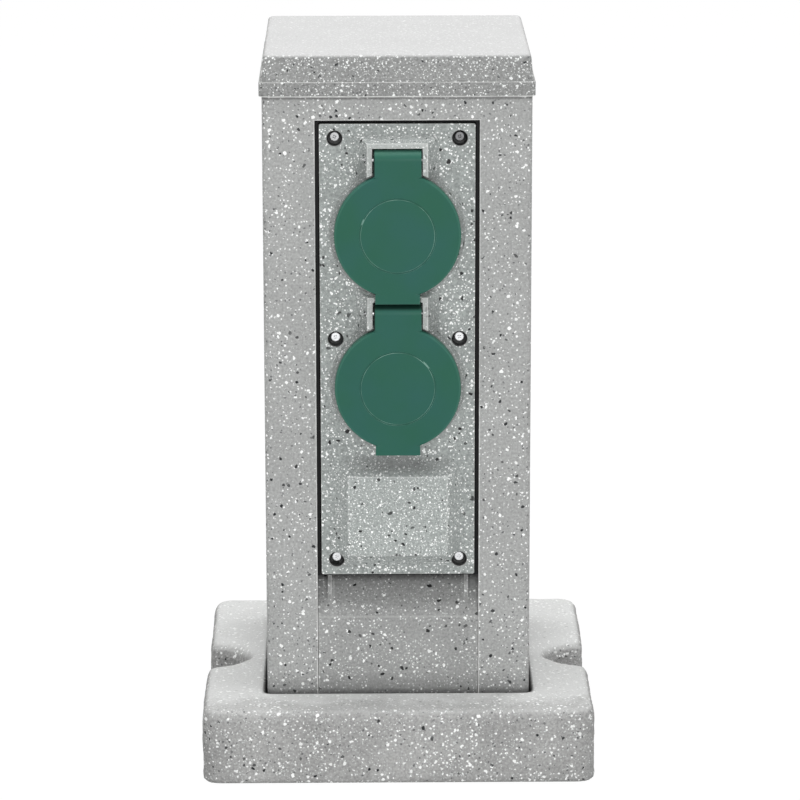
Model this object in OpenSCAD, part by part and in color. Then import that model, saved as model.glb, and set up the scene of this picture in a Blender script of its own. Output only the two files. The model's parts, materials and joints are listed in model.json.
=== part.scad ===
// Garden socket post: a hollow square column on a stone-look base block, with a window
// that holds a faceplate with two lidded sockets and a plain raised box.
// Millimetres. The origin is at the middle of the base's underside, +Z is up and the
// sockets face -Y.

/* [Base block] */
// Width and depth of the base block
base_w = 161.5; // [154:0.5:174]
// Height of the base block
base_h = 31; // [30:0.5:38]
// Wall of the hollow base block
base_wall = 4; // [3:0.5:5]
// Radius of the block's corners, seen from above
base_corner_r = 8; // [7.5:0.5:14]
// Radius that rounds the block's upper edges
base_edge_r = 4; // [3:0.5:7]
// Radius that rounds the block's lower edges
base_foot_r = 1.5; // [0.5:0.5:3]
// Height of the floor that the column stands on
foot_z = 21; // [20:0.5:25]
// Thickness of that floor
foot_t = 3.5; // [2.5:0.5:5]
// Width of the cable opening through that floor
foot_opening = 66; // [50:1:70]
// Thickness of the stiffening ribs inside the base
rib_t = 2.5; // [1.5:0.5:4]
// Distance of each rib from the middle of its side
rib_offset = 36; // [30:1:42]
// Height of the ribs above the ground
rib_z = 3; // [1:0.5:6]

/* [Ground screws] */
// Radius of a screw pocket at its floor
pocket_r_low = 15.5; // [13:0.5:16.5]
// Radius of a screw pocket at the top of the base
pocket_r_high = 19; // [17:0.5:20]
// Distance of the pocket's centre outside the side face
pocket_out = 0.5; // [0:0.5:2]
// Height of the pocket's floor
pocket_z = 16; // [12:0.5:18]
// Distance between the two ground screw holes
ground_pitch = 140; // [138:0.5:142]
// Radius of a ground screw hole
ground_hole_r = 3; // [2:0.1:4]
// Radius of the boss round a ground screw hole
ground_boss_r = 6.5; // [5.5:0.5:7]

/* [Column] */
// Width and depth of the column
column_w = 108; // [106:0.5:112]
// Wall of the column
column_wall = 3.2; // [2.6:0.1:4]
// Radius of the column's upright corners
column_corner_r = 2.5; // [1.5:0.25:4]
// Gap round the column in the base
foot_gap = 0.8; // [0.4:0.1:1.5]
// Width of the window and of the slot below it
window_w = 65.9; // [65:0.1:67]
// Distance of the window's upper edge below the column's upper edge
window_drop = 9.7; // [9:0.1:10.5]
// Thickness of the guide rails behind the front wall
rail_t = 3.3; // [2:0.1:4]
// How far a rail's lip reaches behind the flange it holds
rail_lip = 2.2; // [1:0.1:3]
// Side of the square screw boss in each corner
corner_boss = 12; // [10:0.5:14]
// Height of the corner bosses
corner_boss_h = 30; // [20:1:40]

/* [Column screws] */
// Radius of a column screw's shank
column_screw_r = 2; // [1.5:0.1:2.5]
// Radius of a column screw's head
column_head_r = 4.2; // [3.5:0.1:5]
// Height of a column screw's head
column_head_h = 3; // [2:0.1:4]
// Length of a column screw's shank
column_screw_l = 24; // [16:1:28]

/* [Cap] */
// Height of the whole post
post_h = 296.2; // [270:0.1:330]
// Height of the cap above the column's upper edge
cap_h = 16.7; // [13:0.1:30]
// Width of the cap's top block at its upper edge
cap_top_w = 107; // [106:0.1:111]
// Width of the cap's top block at its foot
cap_foot_w = 108.6; // [107:0.1:112]
// Radius that rounds the cap's upper edges
cap_edge_r = 1.8; // [0.5:0.1:3]
// Width of the lip round the cap
cap_lip_w = 110.3; // [109.5:0.1:114]
// Height of the lip
cap_lip_h = 6; // [4:0.1:8]
// Thickness of the cap's top
cap_wall = 3; // [2:0.1:4]
// Depth of the skirt inside the column
cap_skirt_h = 5.3; // [4:0.1:6]
// Thickness of that skirt
cap_skirt_t = 2.5; // [1.5:0.1:3]
// Length of the two snap tongues below the skirt
tongue_l = 12; // [10:0.5:16]
// Width of a snap tongue
tongue_w = 20; // [12:1:30]
// How far a snap hook reaches outwards
hook_out = 1; // [0.5:0.1:1.1]

/* [Apron] */
// Height of the ramp, from the crease where the apron turns inwards to the socket housing
ramp_h = 17; // [12:0.1:24]
// Wall of the apron
apron_t = 2.6; // [2:0.1:2.8]
// Depth of the ramp below the faceplate
ramp_depth = 13; // [10:0.5:14]
// Distance of each supporting rib from the middle
apron_rib_x = 28; // [24:0.5:30]
// Thickness of each supporting rib
apron_rib_t = 1.8; // [1:0.1:2.5]
// Depth of the ribs' front edges behind the column's face
apron_rib_in = 4.5; // [3.8:0.1:6]

/* [Faceplate] */
// Width of the faceplate
plate_w = 62.5; // [62:0.1:64]
// Height of the faceplate
plate_h = 187; // [180:0.5:205]
// Distance of the faceplate's upper edge below the window's
plate_drop = 1.4; // [1:0.1:2]
// Thickness of the faceplate
plate_t = 2; // [1.6:0.1:2.2]
// How far the faceplate lies behind the column's face
plate_in = 0.5; // [0.2:0.1:0.8]
// Radius of the faceplate's corners
plate_corner_r = 0.75; // [0.5:0.25:3]
// Distance between the two rows of faceplate screws
screw_pitch_x = 50.1; // [49.6:0.1:50.6]
// Distance of the upper faceplate screws below the faceplate's upper edge
screw_drop = 5.8; // [5.2:0.1:6.6]
// Height of the middle faceplate screws above the lower socket's centre
screw_mid_up = 18.3; // [18:0.1:21]
// Height of the lower faceplate screws above the faceplate's lower edge
screw_up = 6.4; // [5.8:0.1:7]
// Radius of the sunk hole that a faceplate screw sits in
counterbore_r = 3.1; // [2.6:0.1:3.1]
// Depth of that hole down to the screw's seat
counterbore_d = 6; // [5:0.1:6.5]
// Wall of the tube round that hole
counterbore_wall = 0.9; // [0.8:0.1:1]

/* [Raised box] */
// Width of the raised box's face
box_w = 40; // [36:0.5:42]
// Height of the raised box's face
box_h = 33; // [28:0.5:34]
// Height of the face's lower edge above the faceplate's lower edge
box_z = 9.6; // [8.4:0.1:10]
// How far the face stands out from the faceplate
box_out = 5.5; // [4:0.1:7]
// Run of the slopes round the face
box_slope = 5.7; // [4:0.1:6]
// Radius of the raised box's corners at the faceplate
box_corner_r = 6; // [3:0.5:8]
// Radius of the corners of its face
box_face_r = 0.6; // [0.2:0.1:2]

/* [Socket collars] */
// Distance of the upper socket's centre below the faceplate's upper edge
socket_drop = 43.7; // [43.5:0.1:47]
// Distance between the centres of the two sockets
socket_pitch = 62.6; // [62.4:0.1:66]
// Radius of a collar at the faceplate
collar_foot_r = 27.8; // [27.4:0.1:28]
// Radius of a collar at its top
collar_top_r = 26.3; // [25.9:0.1:26.8]
// Height of a collar above the faceplate
collar_h = 5.5; // [5:0.1:5.6]
// Outer radius of the neck that the lid's seal meets
neck_r = 22; // [21.8:0.1:22.4]
// Inner radius of the neck's lip
lip_r = 20.2; // [20:0.1:20.6]
// Height of the neck above the faceplate
neck_h = 7.2; // [7:0.1:7.3]
// Wall of the guide tube behind the faceplate
guide_wall = 1.7; // [1.2:0.1:2]
// Length of the guide tube behind the faceplate's front
guide_l = 9; // [8:0.1:9.4]
// Wall that is left in front of the reliefs behind a collar
relief_t = 1.8; // [1.5:0.1:2.2]

/* [Lids] */
// Radius of a lid
lid_r = 25.4; // [25.2:0.1:26]
// Height of the lid's face above the faceplate
lid_face = 10.2; // [10:0.1:10.4]
// Thickness of the lid's disc
lid_t = 2; // [1.6:0.1:2.2]
// Thickness of the lid's skirt
lid_skirt_t = 1.7; // [1.2:0.1:2]
// Gap between the lid's skirt and the collar
lid_gap = 0.4; // [0.3:0.1:0.6]
// Radius that rounds the lid's front edge
lid_edge_r = 0.8; // [0.3:0.1:1.2]
// Radius of the moulded circle on the lid
lid_ring_r = 15.1; // [10:0.1:18]
// Width of that circle's line
lid_ring_w = 0.5; // [0.3:0.1:0.8]
// Depth of that circle's line
lid_ring_d = 0.3; // [0.1:0.1:0.5]
// Width of the finger tab
tab_w = 18; // [14:0.1:19]
// Distance of the finger tab's end from the lid's centre
tab_reach = 27.8; // [27.2:0.1:27.9]
// Thickness of the tab and of the tongue
tab_t = 2.4; // [2:0.1:2.5]
// Width of the tongue that carries the hinge barrel
lid_tongue_w = 19.1; // [18:0.1:19.6]
// Outer radius of the lid's seal
seal_r = 22.8; // [22.5:0.1:23.2]
// Inner radius of the lid's seal
seal_in_r = 19.6; // [19.3:0.1:20.4]
// Gap between the seal and the neck when the lid is shut
seal_gap = 0.3; // [0.1:0.1:0.5]

/* [Hinges] */
// Distance of the hinge axis above the socket's centre
hinge_up = 30.2; // [30:0.1:30.4]
// Height of the hinge axis above the faceplate
hinge_out = 6; // [5.9:0.1:6.2]
// Radius of the lid's hinge barrel
barrel_r = 4.2; // [4:0.1:4.2]
// Radius of the hinge pin
pin_r = 1.1; // [0.9:0.05:1.2]
// Radial running clearance of the pin in the barrel
pin_fit = 0.05; // [0.02:0.01:0.1]
// Gap between the barrel and each cheek
cheek_gap = 0.5; // [0.3:0.05:0.6]
// Thickness of the housing's cheeks and of its top wall
cheek_t = 2; // [1.6:0.1:2.2]
// Height of the housing above the faceplate
housing_out = 8.3; // [8:0.1:8.5]
// Gap between the barrel and the housing's top wall
housing_gap = 0.7; // [0.6:0.05:0.9]
// Run of the housing's sloping sides
housing_slope = 5; // [3:0.1:6]
// Run of the housing's sloping top
housing_top_slope = 2; // [2:0.1:4]
// Height of the housing's floor above the faceplate
housing_floor = 1; // [0.5:0.1:1.4]
// Radius of the spring's space inside the barrel
spring_space_r = 3; // [2.8:0.1:3.2]
// Half length of the spring's space
spring_space_l = 4.5; // [4:0.1:5]
// Mean radius of the spring's turns
spring_r = 1.95; // [1.85:0.05:2]
// Radius of the spring's wire
spring_wire_r = 0.35; // [0.25:0.05:0.4]
// Distance between the spring's turns
spring_pitch = 1.2; // [1.1:0.05:1.3]
// Number of the spring's turns
spring_turns = 5; // [4:1:6]

/* [Socket inserts] */
// Inner radius of the plug recess
recess_r = 19.5; // [19.3:0.1:19.6]
// Depth of the plug recess behind the neck's front
recess_d = 17.5; // [17:0.1:18]
// Wall of the insert
insert_wall = 1.6; // [1.4:0.1:1.7]
// Thickness of the insert's floor
insert_floor_t = 3; // [2:0.1:4]
// Radius of the insert's flange
insert_flange_r = 24.2; // [23.6:0.1:24.6]
// Thickness of the insert's flange
insert_flange_t = 2; // [1.5:0.1:2.5]
// Distance between the two pin holes
pin_pitch = 19; // [18.8:0.1:19.2]
// Radius of a pin hole
pin_hole_r = 2.6; // [2.4:0.05:2.8]
// Depth of the guide ribs at each side of the recess
guide_rib_d = 2.4; // [1.5:0.1:3]
// Width of the guide ribs
guide_rib_w = 4.4; // [3:0.1:6]
// Distance of the insert's screws from the socket's centre
insert_screw_up = 27; // [26.6:0.1:27.1]
// Radius of the bosses for the insert's screws
insert_boss_r = 3; // [2.5:0.1:3.1]
// Radius of the insert screws' shanks
insert_screw_r = 1.25; // [1:0.05:1.4]
// Length of the insert screws' shanks
insert_screw_l = 7; // [5:0.5:8]

/* [Contacts] */
// Thickness of the contact brass
contact_t = 0.8; // [0.5:0.1:1]
// Gap between a contact's two blades
contact_gap = 4.4; // [4:0.1:4.6]
// Width of a contact's blades
contact_w = 7; // [5:0.5:8]
// Length of a contact
contact_l = 9.5; // [7:0.5:10]
// Outer width of a contact's chamber
chamber_w = 9; // [8.6:0.1:9.4]
// Outer height of a contact's chamber
chamber_h = 12; // [10:0.5:14]
// Wall of a contact's chamber
chamber_wall = 1.2; // [1:0.1:1.3]
// Width of the earth strap
earth_w = 5; // [4:0.1:6]
// How far the earth clips bow into the recess
earth_bow = 1.4; // [0.5:0.1:2]

/* [Socket housing] */
// Width of the housing's flange
flange_w = 75; // [73:0.5:78]
// Thickness of the housing's flange
flange_t = 2.6; // [2:0.1:3]
// How far the flange reaches below the faceplate
flange_below = 1.1; // [0.6:0.1:2]
// How far the flange reaches above the window
flange_above = 3.2; // [1:0.1:3.7]
// Outer width of the housing's body
housing_w = 60.4; // [60:0.1:62]
// Height of the housing's lower wall above the faceplate's lower edge
housing_up = 1.5; // [0.9:0.1:2.3]
// Distance of the housing's upper wall below the faceplate's upper edge
housing_drop = 1.3; // [0.4:0.1:1.9]
// Wall of the housing
housing_wall = 2.4; // [2:0.1:2.5]
// Depth of the housing behind its flange
housing_d = 38; // [34:0.5:44]
// Thickness of the foam gasket
gasket_t = 0.7; // [0.5:0.1:0.9]
// Width of the foam gasket
gasket_w = 4; // [3:0.1:4.4]
// How far the gasket shows past the faceplate's edge
gasket_out = 0.35; // [0.1:0.05:0.6]
// Radius of a faceplate screw's shank
plate_screw_r = 1.25; // [1:0.05:1.5]
// Radius of a faceplate screw's head
plate_head_r = 2; // [1.7:0.1:2.4]
// Height of a faceplate screw's head
plate_head_h = 2; // [1.5:0.1:2.5]
// Length of a faceplate screw's shank
plate_screw_l = 15; // [10:1:18]

/* [Cable gland] */
// Radius of the gland's thread
gland_r = 8; // [7.5:0.1:9]
// Depth of the gland's axis behind the housing's flange
gland_in = 24; // [22:0.5:25]
// Radius of the cable's way through the gland
gland_bore_r = 4.75; // [4:0.05:5.5]
// Distance across the flats of the gland's body
gland_flats = 20; // [19:0.5:22]
// Height of the gland's flange under the housing
gland_flange_h = 3; // [2:0.5:4]
// Length of the gland's neck under its flange
gland_neck_h = 7; // [6:0.5:9]
// Height of the gland's domed nut
gland_nut_h = 12; // [11:0.5:14]
// Thickness of the gland's locknut
locknut_h = 4; // [3:0.5:5]

/* [Terminal block] */
// Height of the terminal block
terminal_h = 20; // [16:1:22]
// Height of the terminal block above the faceplate's lower edge
terminal_up = 14.1; // [11:0.1:19]
// Depth of the terminal block
terminal_d = 16; // [14:1:18]
// Radius of a terminal's wire way
terminal_way_r = 1.8; // [1.6:0.1:2]

/* [Wires] */
// Radius of a wire with its insulation
wire_r = 1.2; // [0.9:0.1:1.4]

/* [Cable entry] */
// Height of the cable entry in the back of the base
entry_z = 12; // [10:0.1:13]
// Radius of the cable's way through the grommet
entry_r = 4.75; // [4:0.05:5.5]
// Radius of the hole that the grommet sits in
entry_hole_r = 7; // [6.5:0.1:7.5]
// Radius of the grommet's flanges
entry_flange_r = 9; // [8.5:0.1:9.2]
// Thickness of each of the grommet's flanges
entry_flange_t = 1.6; // [1:0.1:1.8]

/* [Hidden] */
// Roundness of true circles, and of the corners of hulls
$fn = 64;
hull_fn = 32;
// A cut reaches this far past the face that it opens
over = 1;
// Clearance between flat faces that slide on each other
slide_gap = 0.3;
// Clearance of a screw's shank in its thread, of a loose fit, and of a snug seat
thread_fit = 0.05;
loose_fit = 0.3;
snug_fit = 0.1;
// Thickness of the slices that a rounded block is hulled from
slice = 0.01;

// Heights, worked down from the top: each piece hangs from the one above it
column_top_z = post_h - cap_h;
window_top_z = column_top_z - window_drop;
plate_top_z = window_top_z - plate_drop;
plate_z = plate_top_z - plate_h;
plate_mid_z = plate_z + plate_h / 2;
upper_z = plate_top_z - socket_drop;
lower_z = upper_z - socket_pitch;
socket_z = [lower_z, upper_z];
box_mid_z = plate_z + box_z + box_h / 2;
flange_z = plate_z - flange_below;
flange_top_z = window_top_z + flange_above;
housing_z = plate_z + housing_up;
housing_top_z = plate_top_z - housing_drop;
ramp_top_z = flange_z;
crease_z = ramp_top_z - ramp_h;
terminal_z = plate_z + terminal_up;
terminal_top_z = terminal_z + terminal_h;

// Planes that face the front, from the column's face inwards
face_y = -column_w / 2;
wall_y = face_y + column_wall;
plate_y = face_y + plate_in;
plate_back_y = plate_y + plate_t;
flange_y = wall_y;
flange_back_y = flange_y + flange_t;
seat_y = plate_y + counterbore_d;
tube_end_y = seat_y + 1.5;
guide_end_y = plate_y + guide_l;

// Column and base
inner_w = column_w - 2 * column_wall;
socket_w = column_w + 2 * foot_gap;
boss_at = inner_w / 2 - corner_boss / 2;
foot_under_z = foot_z - foot_t;
pocket_x = base_w / 2 + pocket_out;
ridge_z = column_top_z - cap_skirt_h - tongue_l + 3;
ridge_h = 2;
hook_h = 2.2;

// Guide rails and what slides in them
flange_half = flange_w / 2;
rail_in_x = flange_half + slide_gap;
rail_back_y = flange_back_y + slide_gap;

// Apron
ramp_rise = ramp_h / ramp_depth;
apron_half = window_w / 2 - 0.15;
apron_cheek_t = 1.8;

// Faceplate, lids and hinges
screw_rows = [plate_z + screw_up, lower_z + screw_mid_up, plate_top_z - screw_drop];
screw_places = [for (z = screw_rows) for (s = [-1, 1]) [s * screw_pitch_x / 2, z]];
tube_r = counterbore_r + counterbore_wall;
guide_r = recess_r + insert_wall + 0.2;
relief_in_r = guide_r + guide_wall + 0.4;
hinge_y = plate_y - hinge_out;
lid_face_y = plate_y - lid_face;
skirt_low = collar_h + lid_gap;
lid_under = lid_face - lid_t;
cheek_in = lid_tongue_w / 2 + cheek_gap;
cheek_out = cheek_in + cheek_t;
cavity_top = hinge_up + barrel_r + housing_gap;
cavity_low = hinge_up - barrel_r - housing_gap;
pin_bore_r = pin_r + pin_fit;
pin_left = cheek_out + 1.2;
pin_right = cheek_out - 0.3;

// Socket inserts and contacts
recess_floor_y = plate_y - neck_h + recess_d;
floor_back_y = recess_floor_y + insert_floor_t;
insert_front = neck_h - 1.3;
contact_front_y = floor_back_y + 0.6;
contact_back_y = contact_front_y + contact_l;
chamber_back_y = contact_back_y + 0.4 + chamber_wall;
earth_out = recess_r - loose_fit;
earth_in = earth_out - contact_t;
earth_tab_l = 6;

// Socket housing, gland and terminal block
housing_back_y = flange_back_y + housing_d;
housing_half = housing_w / 2 - housing_wall;
gland_y = flange_back_y + gland_in;
gland_under_z = housing_z - gland_flange_h;
terminal_y = housing_back_y - housing_wall - terminal_d / 2;
terminal_w = 1.5 * pin_pitch + 4;
poles = [-pin_pitch / 2, 0, pin_pitch / 2];
clamp_r = terminal_way_r + 0.9;

// Ways of the wires as [depth, height]: from the terminals to the lower socket, and on to
// the upper one. They end off_z below or above the middle of what they are joined to
wire_bow_y = terminal_y + 2;
wire_elbow_y = terminal_y - 5;
wire_end_y = contact_back_y + snug_fit;
earth_end_y = floor_back_y + contact_t + 2;
wire_off_z = 2.5;
earth_off_z = contact_t / 2 + wire_r + snug_fit;
function way_in(z, off_z, end_y) = [[terminal_y - 1, z - off_z - 3], [wire_elbow_y, z - off_z], [end_y, z - off_z]];
function way_out(z, off_z, end_y) = [[end_y, z + off_z], [wire_elbow_y, z + off_z], [terminal_y - 1, z + off_z + 3]];
function way_lower(off_z, end_y) = concat([[terminal_y, terminal_top_z - 3], [terminal_y, terminal_top_z + 4],
  [wire_bow_y, terminal_top_z + 15]], way_in(lower_z, off_z, end_y));
function way_upper(off_z, end_y) = concat(way_out(lower_z, off_z, end_y), [[wire_bow_y, lower_z + 18],
  [wire_bow_y, upper_z - 18]], way_in(upper_z, off_z, end_y));
wire_steps = 4;
wire_sides = 8;

granite = [0.66, 0.66, 0.66];
granite_dark = [0.6, 0.6, 0.6];
plate_grey = [0.62, 0.64, 0.63];
lid_green = [0.2, 0.42, 0.36];
black_plastic = [0.1, 0.1, 0.1];
black_rubber = [0.05, 0.05, 0.05];
steel = [0.8, 0.8, 0.8];
brass = [0.8, 0.65, 0.3];
white_plastic = [0.85, 0.85, 0.82];

// A rectangle with rounded corners
module rounded(w, h, r) {
  square([w - 2 * r, h], center = true);
  square([w, h - 2 * r], center = true);
  for (sx = [-1, 1]) for (sy = [-1, 1])
    translate([sx * (w / 2 - r), sy * (h / 2 - r)]) circle(r);
}

// An upright block with rounded corners
module block(w, r, z0, z1) translate([0, 0, z0]) linear_extrude(z1 - z0) rounded(w, w, r);

// Places children on a plane that faces the front: their X stays, their Y is up,
// and their Z comes out towards the viewer
module facing(x, y, z) translate([x, y, z]) rotate([90, 0, 0]) children();

// The same, on the faceplate's front at a height z, raised by out
module on_plate(x, z, out = 0) facing(x, plate_y - out, z) children();

// A rod along the depth, between two planes
module rod(x, z, r, y0, y1) facing(x, y1, z) cylinder(r = r, h = y1 - y0);

// A rod along the width, at a depth y and height z
module bar(x0, x1, y, z, r) translate([x0, y, z]) rotate([0, 90, 0]) cylinder(r = r, h = x1 - x0);

// A box between two corners
module span(a, b) translate(a) cube(b - a);

// A profile in depth and height, as wide as w and centred
module profile(w) rotate([90, 0, 90]) translate([0, 0, -w / 2]) linear_extrude(w) children();

// Tubes along a route. The route never runs along X, so X steadies the rings
function heading(p, i) = let (d = p[min(i + 1, len(p) - 1)] - p[max(i - 1, 0)]) d / norm(d);
function ring(c, d, r, n) = let (u = cross(d, [1, 0, 0]), a = u / norm(u), b = cross(a, d))
  [for (k = [0:n - 1]) c + r * (cos(360 * k / n) * a + sin(360 * k / n) * b)];
module tube(p, r, n) {
  last = len(p) - 1;
  points = [for (i = [0:last]) each ring(p[i], heading(p, i), r, n)];
  walls = [for (i = [0:last - 1]) for (k = [0:n - 1]) let (m = (k + 1) % n)
    each [[i * n + k, i * n + m, (i + 1) * n + m], [i * n + k, (i + 1) * n + m, (i + 1) * n + k]]];
  ends = [[for (k = [n - 1:-1:0]) k], [for (k = [0:n - 1]) last * n + k]];
  polyhedron(points, concat(walls, ends), convexity = 6);
}

// A smooth route through hand-set points
function between(a, b, c, d, t) = 0.5 * ((2 * b) + (c - a) * t + (2 * a - 5 * b + 4 * c - d) * t * t
  + (3 * b - a - 3 * c + d) * t * t * t);
function smooth(p, n) = let (e = len(p) - 1) concat([for (i = [0:e - 1]) for (k = [0:n - 1])
  between(p[max(i - 1, 0)], p[i], p[i + 1], p[min(i + 2, e)], k / n)], [p[e]]);

// Base block: a hollow shell that is open underneath, with the column's seat on top
module base_corner() rotate_extrude($fn = hull_fn) polygon(concat(
  [[0, 0]],
  [for (a = [90:-15:0]) [base_corner_r - base_foot_r * (1 - cos(a)), base_foot_r * (1 - sin(a))]],
  [for (a = [0:15:90]) [base_corner_r - base_edge_r * (1 - cos(a)), base_h - base_edge_r * (1 - sin(a))]],
  [[0, base_h]]));

module base_outline() hull() {
  at = base_w / 2 - base_corner_r;
  for (sx = [-1, 1]) for (sy = [-1, 1]) translate([sx * at, sy * at, 0]) base_corner();
}

module pocket(grow) for (s = [-1, 1])
  translate([s * pocket_x, 0, pocket_z - grow])
    cylinder(r1 = pocket_r_low + grow, r2 = pocket_r_high + grow, h = base_h - pocket_z + grow + over);

module base_hollow() difference() {
  block(base_w - 2 * base_wall, base_corner_r - base_wall, -over, base_h - base_wall);
  block(socket_w + 2 * foot_t, column_corner_r + foot_t, foot_under_z, base_h);
  pocket(foot_t);
  for (s = [-1, 1]) translate([s * ground_pitch / 2, 0, -over])
    cylinder(r = ground_boss_r, h = base_h);
  for (s = [-1, 1]) for (side = [0, 90]) rotate(side)
    translate([-base_w / 2, s * rib_offset - rib_t / 2, rib_z]) difference() {
      cube([base_w, rib_t, base_h]);
      translate([base_w / 2 - socket_w / 2, -over, -over])
        cube([socket_w, rib_t + 2 * over, base_h + 2 * over]);
    }
}

module base_block() color(granite) difference() {
  base_outline();
  base_hollow();
  block(socket_w, column_corner_r + foot_gap, foot_z, base_h + over);
  block(foot_opening, base_corner_r, 0, base_h);
  pocket(0);
  for (s = [-1, 1]) translate([s * ground_pitch / 2, 0, -over])
    cylinder(r = ground_hole_r, h = base_h);
  for (sx = [-1, 1]) for (sy = [-1, 1]) translate([sx * boss_at, sy * boss_at, 0])
    cylinder(r = column_screw_r + loose_fit, h = base_h);
  rod(0, entry_z, entry_hole_r, base_w / 2 - base_wall - over, base_w / 2 + over);
  rod(0, entry_z, entry_flange_r + snug_fit, base_w / 2 - entry_flange_t, base_w / 2 + over);
}

// Rubber grommet in the back of the base, where a supply cable comes in
module entry_grommet() color(black_rubber) difference() {
  union() {
    rod(0, entry_z, entry_hole_r - thread_fit, base_w / 2 - base_wall - over, base_w / 2 - over);
    rod(0, entry_z, entry_flange_r, base_w / 2 - entry_flange_t, base_w / 2);
    rod(0, entry_z, entry_flange_r, base_w / 2 - base_wall - entry_flange_t, base_w / 2 - base_wall);
  }
  rod(0, entry_z, entry_r, base_w / 2 - base_wall - entry_flange_t - over, base_w / 2 + over);
}

// Column: a square tube with a front slot, guide rails and corner bosses
module rails() for (s = [-1, 1]) mirror([s < 0 ? 1 : 0, 0, 0]) {
  span([rail_in_x, wall_y - slice, foot_z], [rail_in_x + rail_t, rail_back_y + rail_t, ridge_z]);
  span([rail_in_x - rail_lip, rail_back_y, foot_z], [rail_in_x + rail_t, rail_back_y + rail_t, ridge_z]);
}

module column() color(granite) difference() {
  union() {
    difference() {
      block(column_w, column_corner_r, foot_z, column_top_z);
      block(inner_w, column_corner_r / 2, foot_z - over, column_top_z + over);
    }
    rails();
    for (sx = [-1, 1]) for (sy = [-1, 1]) translate([sx * (boss_at + slice), sy * (boss_at + slice), foot_z])
      translate([-corner_boss / 2, -corner_boss / 2, 0]) cube([corner_boss, corner_boss, corner_boss_h]);
    for (s = [-1, 1]) mirror([s < 0 ? 1 : 0, 0, 0])
      span([inner_w / 2 - hook_out, -tongue_w / 2, ridge_z],
        [inner_w / 2 + slice, tongue_w / 2, ridge_z + ridge_h]);
  }
  span([-window_w / 2, face_y - over, foot_z - over], [window_w / 2, wall_y + slice, window_top_z]);
  for (sx = [-1, 1]) for (sy = [-1, 1]) translate([sx * boss_at, sy * boss_at, foot_z - over])
    cylinder(r = column_screw_r + thread_fit, h = corner_boss_h);
}

// Four screws that hold the column down on the base
module column_screws() color(steel) for (sx = [-1, 1]) for (sy = [-1, 1])
  translate([sx * boss_at, sy * boss_at, foot_under_z]) {
    translate([0, 0, -column_head_h]) cylinder(r = column_head_r, h = column_head_h);
    cylinder(r = column_screw_r, h = column_screw_l);
  }

// Cap: a hollow lid with a lip that rests on the column and two snap tongues
module cap_block() {
  top_r = column_corner_r;
  hull() for (sx = [-1, 1]) for (sy = [-1, 1]) {
    low = cap_foot_w / 2 - top_r;
    high = cap_top_w / 2 - top_r;
    translate([sx * low, sy * low, column_top_z + cap_lip_h - slice]) cylinder(r = top_r, h = slice, $fn = hull_fn);
    for (a = [0:22.5:90]) translate([sx * high, sy * high, post_h - cap_edge_r * (1 - sin(a)) - slice])
      cylinder(r = top_r - cap_edge_r * (1 - cos(a)), h = slice, $fn = hull_fn);
  }
}

module cap() color(granite) {
  skirt_w = inner_w - 2 * slide_gap;
  skirt_z = column_top_z - cap_skirt_h;
  hollow_w = skirt_w - 2 * cap_skirt_t;
  difference() {
    union() {
      cap_block();
      block(cap_lip_w, column_corner_r, column_top_z, column_top_z + cap_lip_h);
      block(skirt_w, column_corner_r / 2, skirt_z, column_top_z + slice);
    }
    block(hollow_w, column_corner_r / 2, skirt_z - over, post_h - cap_wall);
  }
  tongue_x = inner_w / 2 - hook_out - slide_gap;
  for (s = [-1, 1]) mirror([s < 0 ? 1 : 0, 0, 0]) {
    span([tongue_x - cap_skirt_t, -tongue_w / 2, skirt_z - tongue_l],
      [tongue_x, tongue_w / 2, skirt_z + slice]);
    span([tongue_x - slice, -tongue_w / 2, ridge_z - slide_gap - hook_h],
      [tongue_x + hook_out, tongue_w / 2, ridge_z - slide_gap]);
  }
}

// Apron: closes the slot below the faceplate, turns inwards as a ramp and carries
// the socket housing
function ramp_z(y) = crease_z + (y - face_y) * ramp_rise;
ramp_back_y = face_y + ramp_depth;

module ramp_outline() polygon([[face_y, crease_z], [ramp_back_y, ramp_top_z],
  [ramp_back_y + apron_t, ramp_top_z], [ramp_back_y + apron_t, ramp_z(ramp_back_y) - apron_t],
  [face_y + apron_t, crease_z - apron_t * ramp_rise]]);

module apron() color(granite_dark) {
  cheek_x = window_w / 2 + slide_gap;
  difference() {
    profile(2 * (cheek_x + apron_cheek_t)) ramp_outline();
    for (s = [-1, 1]) mirror([s < 0 ? 1 : 0, 0, 0])
      span([apron_half, face_y - over, foot_z], [flange_half + over, wall_y, ramp_top_z + over]);
  }
  span([-apron_half, face_y, foot_z], [apron_half, face_y + apron_t, crease_z]);
  for (s = [-1, 1]) mirror([s < 0 ? 1 : 0, 0, 0]) {
    span([apron_half - apron_t, face_y + slice, foot_z], [apron_half, flange_back_y, ramp_z(face_y)]);
    span([apron_half - apron_t, wall_y, foot_z], [flange_half, flange_back_y, ramp_z(wall_y) - slice]);
    span([cheek_x, wall_y, crease_z], [flange_half, flange_back_y, ramp_top_z]);
    translate([cheek_x + apron_cheek_t / 2, 0, 0]) profile(apron_cheek_t)
      polygon([[wall_y, ramp_z(wall_y) - slice], [wall_y, ramp_top_z], [ramp_back_y + slice, ramp_top_z]]);
    translate([apron_rib_x, 0, 0]) profile(apron_rib_t)
      polygon([[face_y + apron_rib_in, ramp_z(face_y + apron_rib_in) - slice],
        [face_y + apron_rib_in, ramp_top_z], [ramp_back_y + slice, ramp_top_z]]);
  }
}

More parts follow.
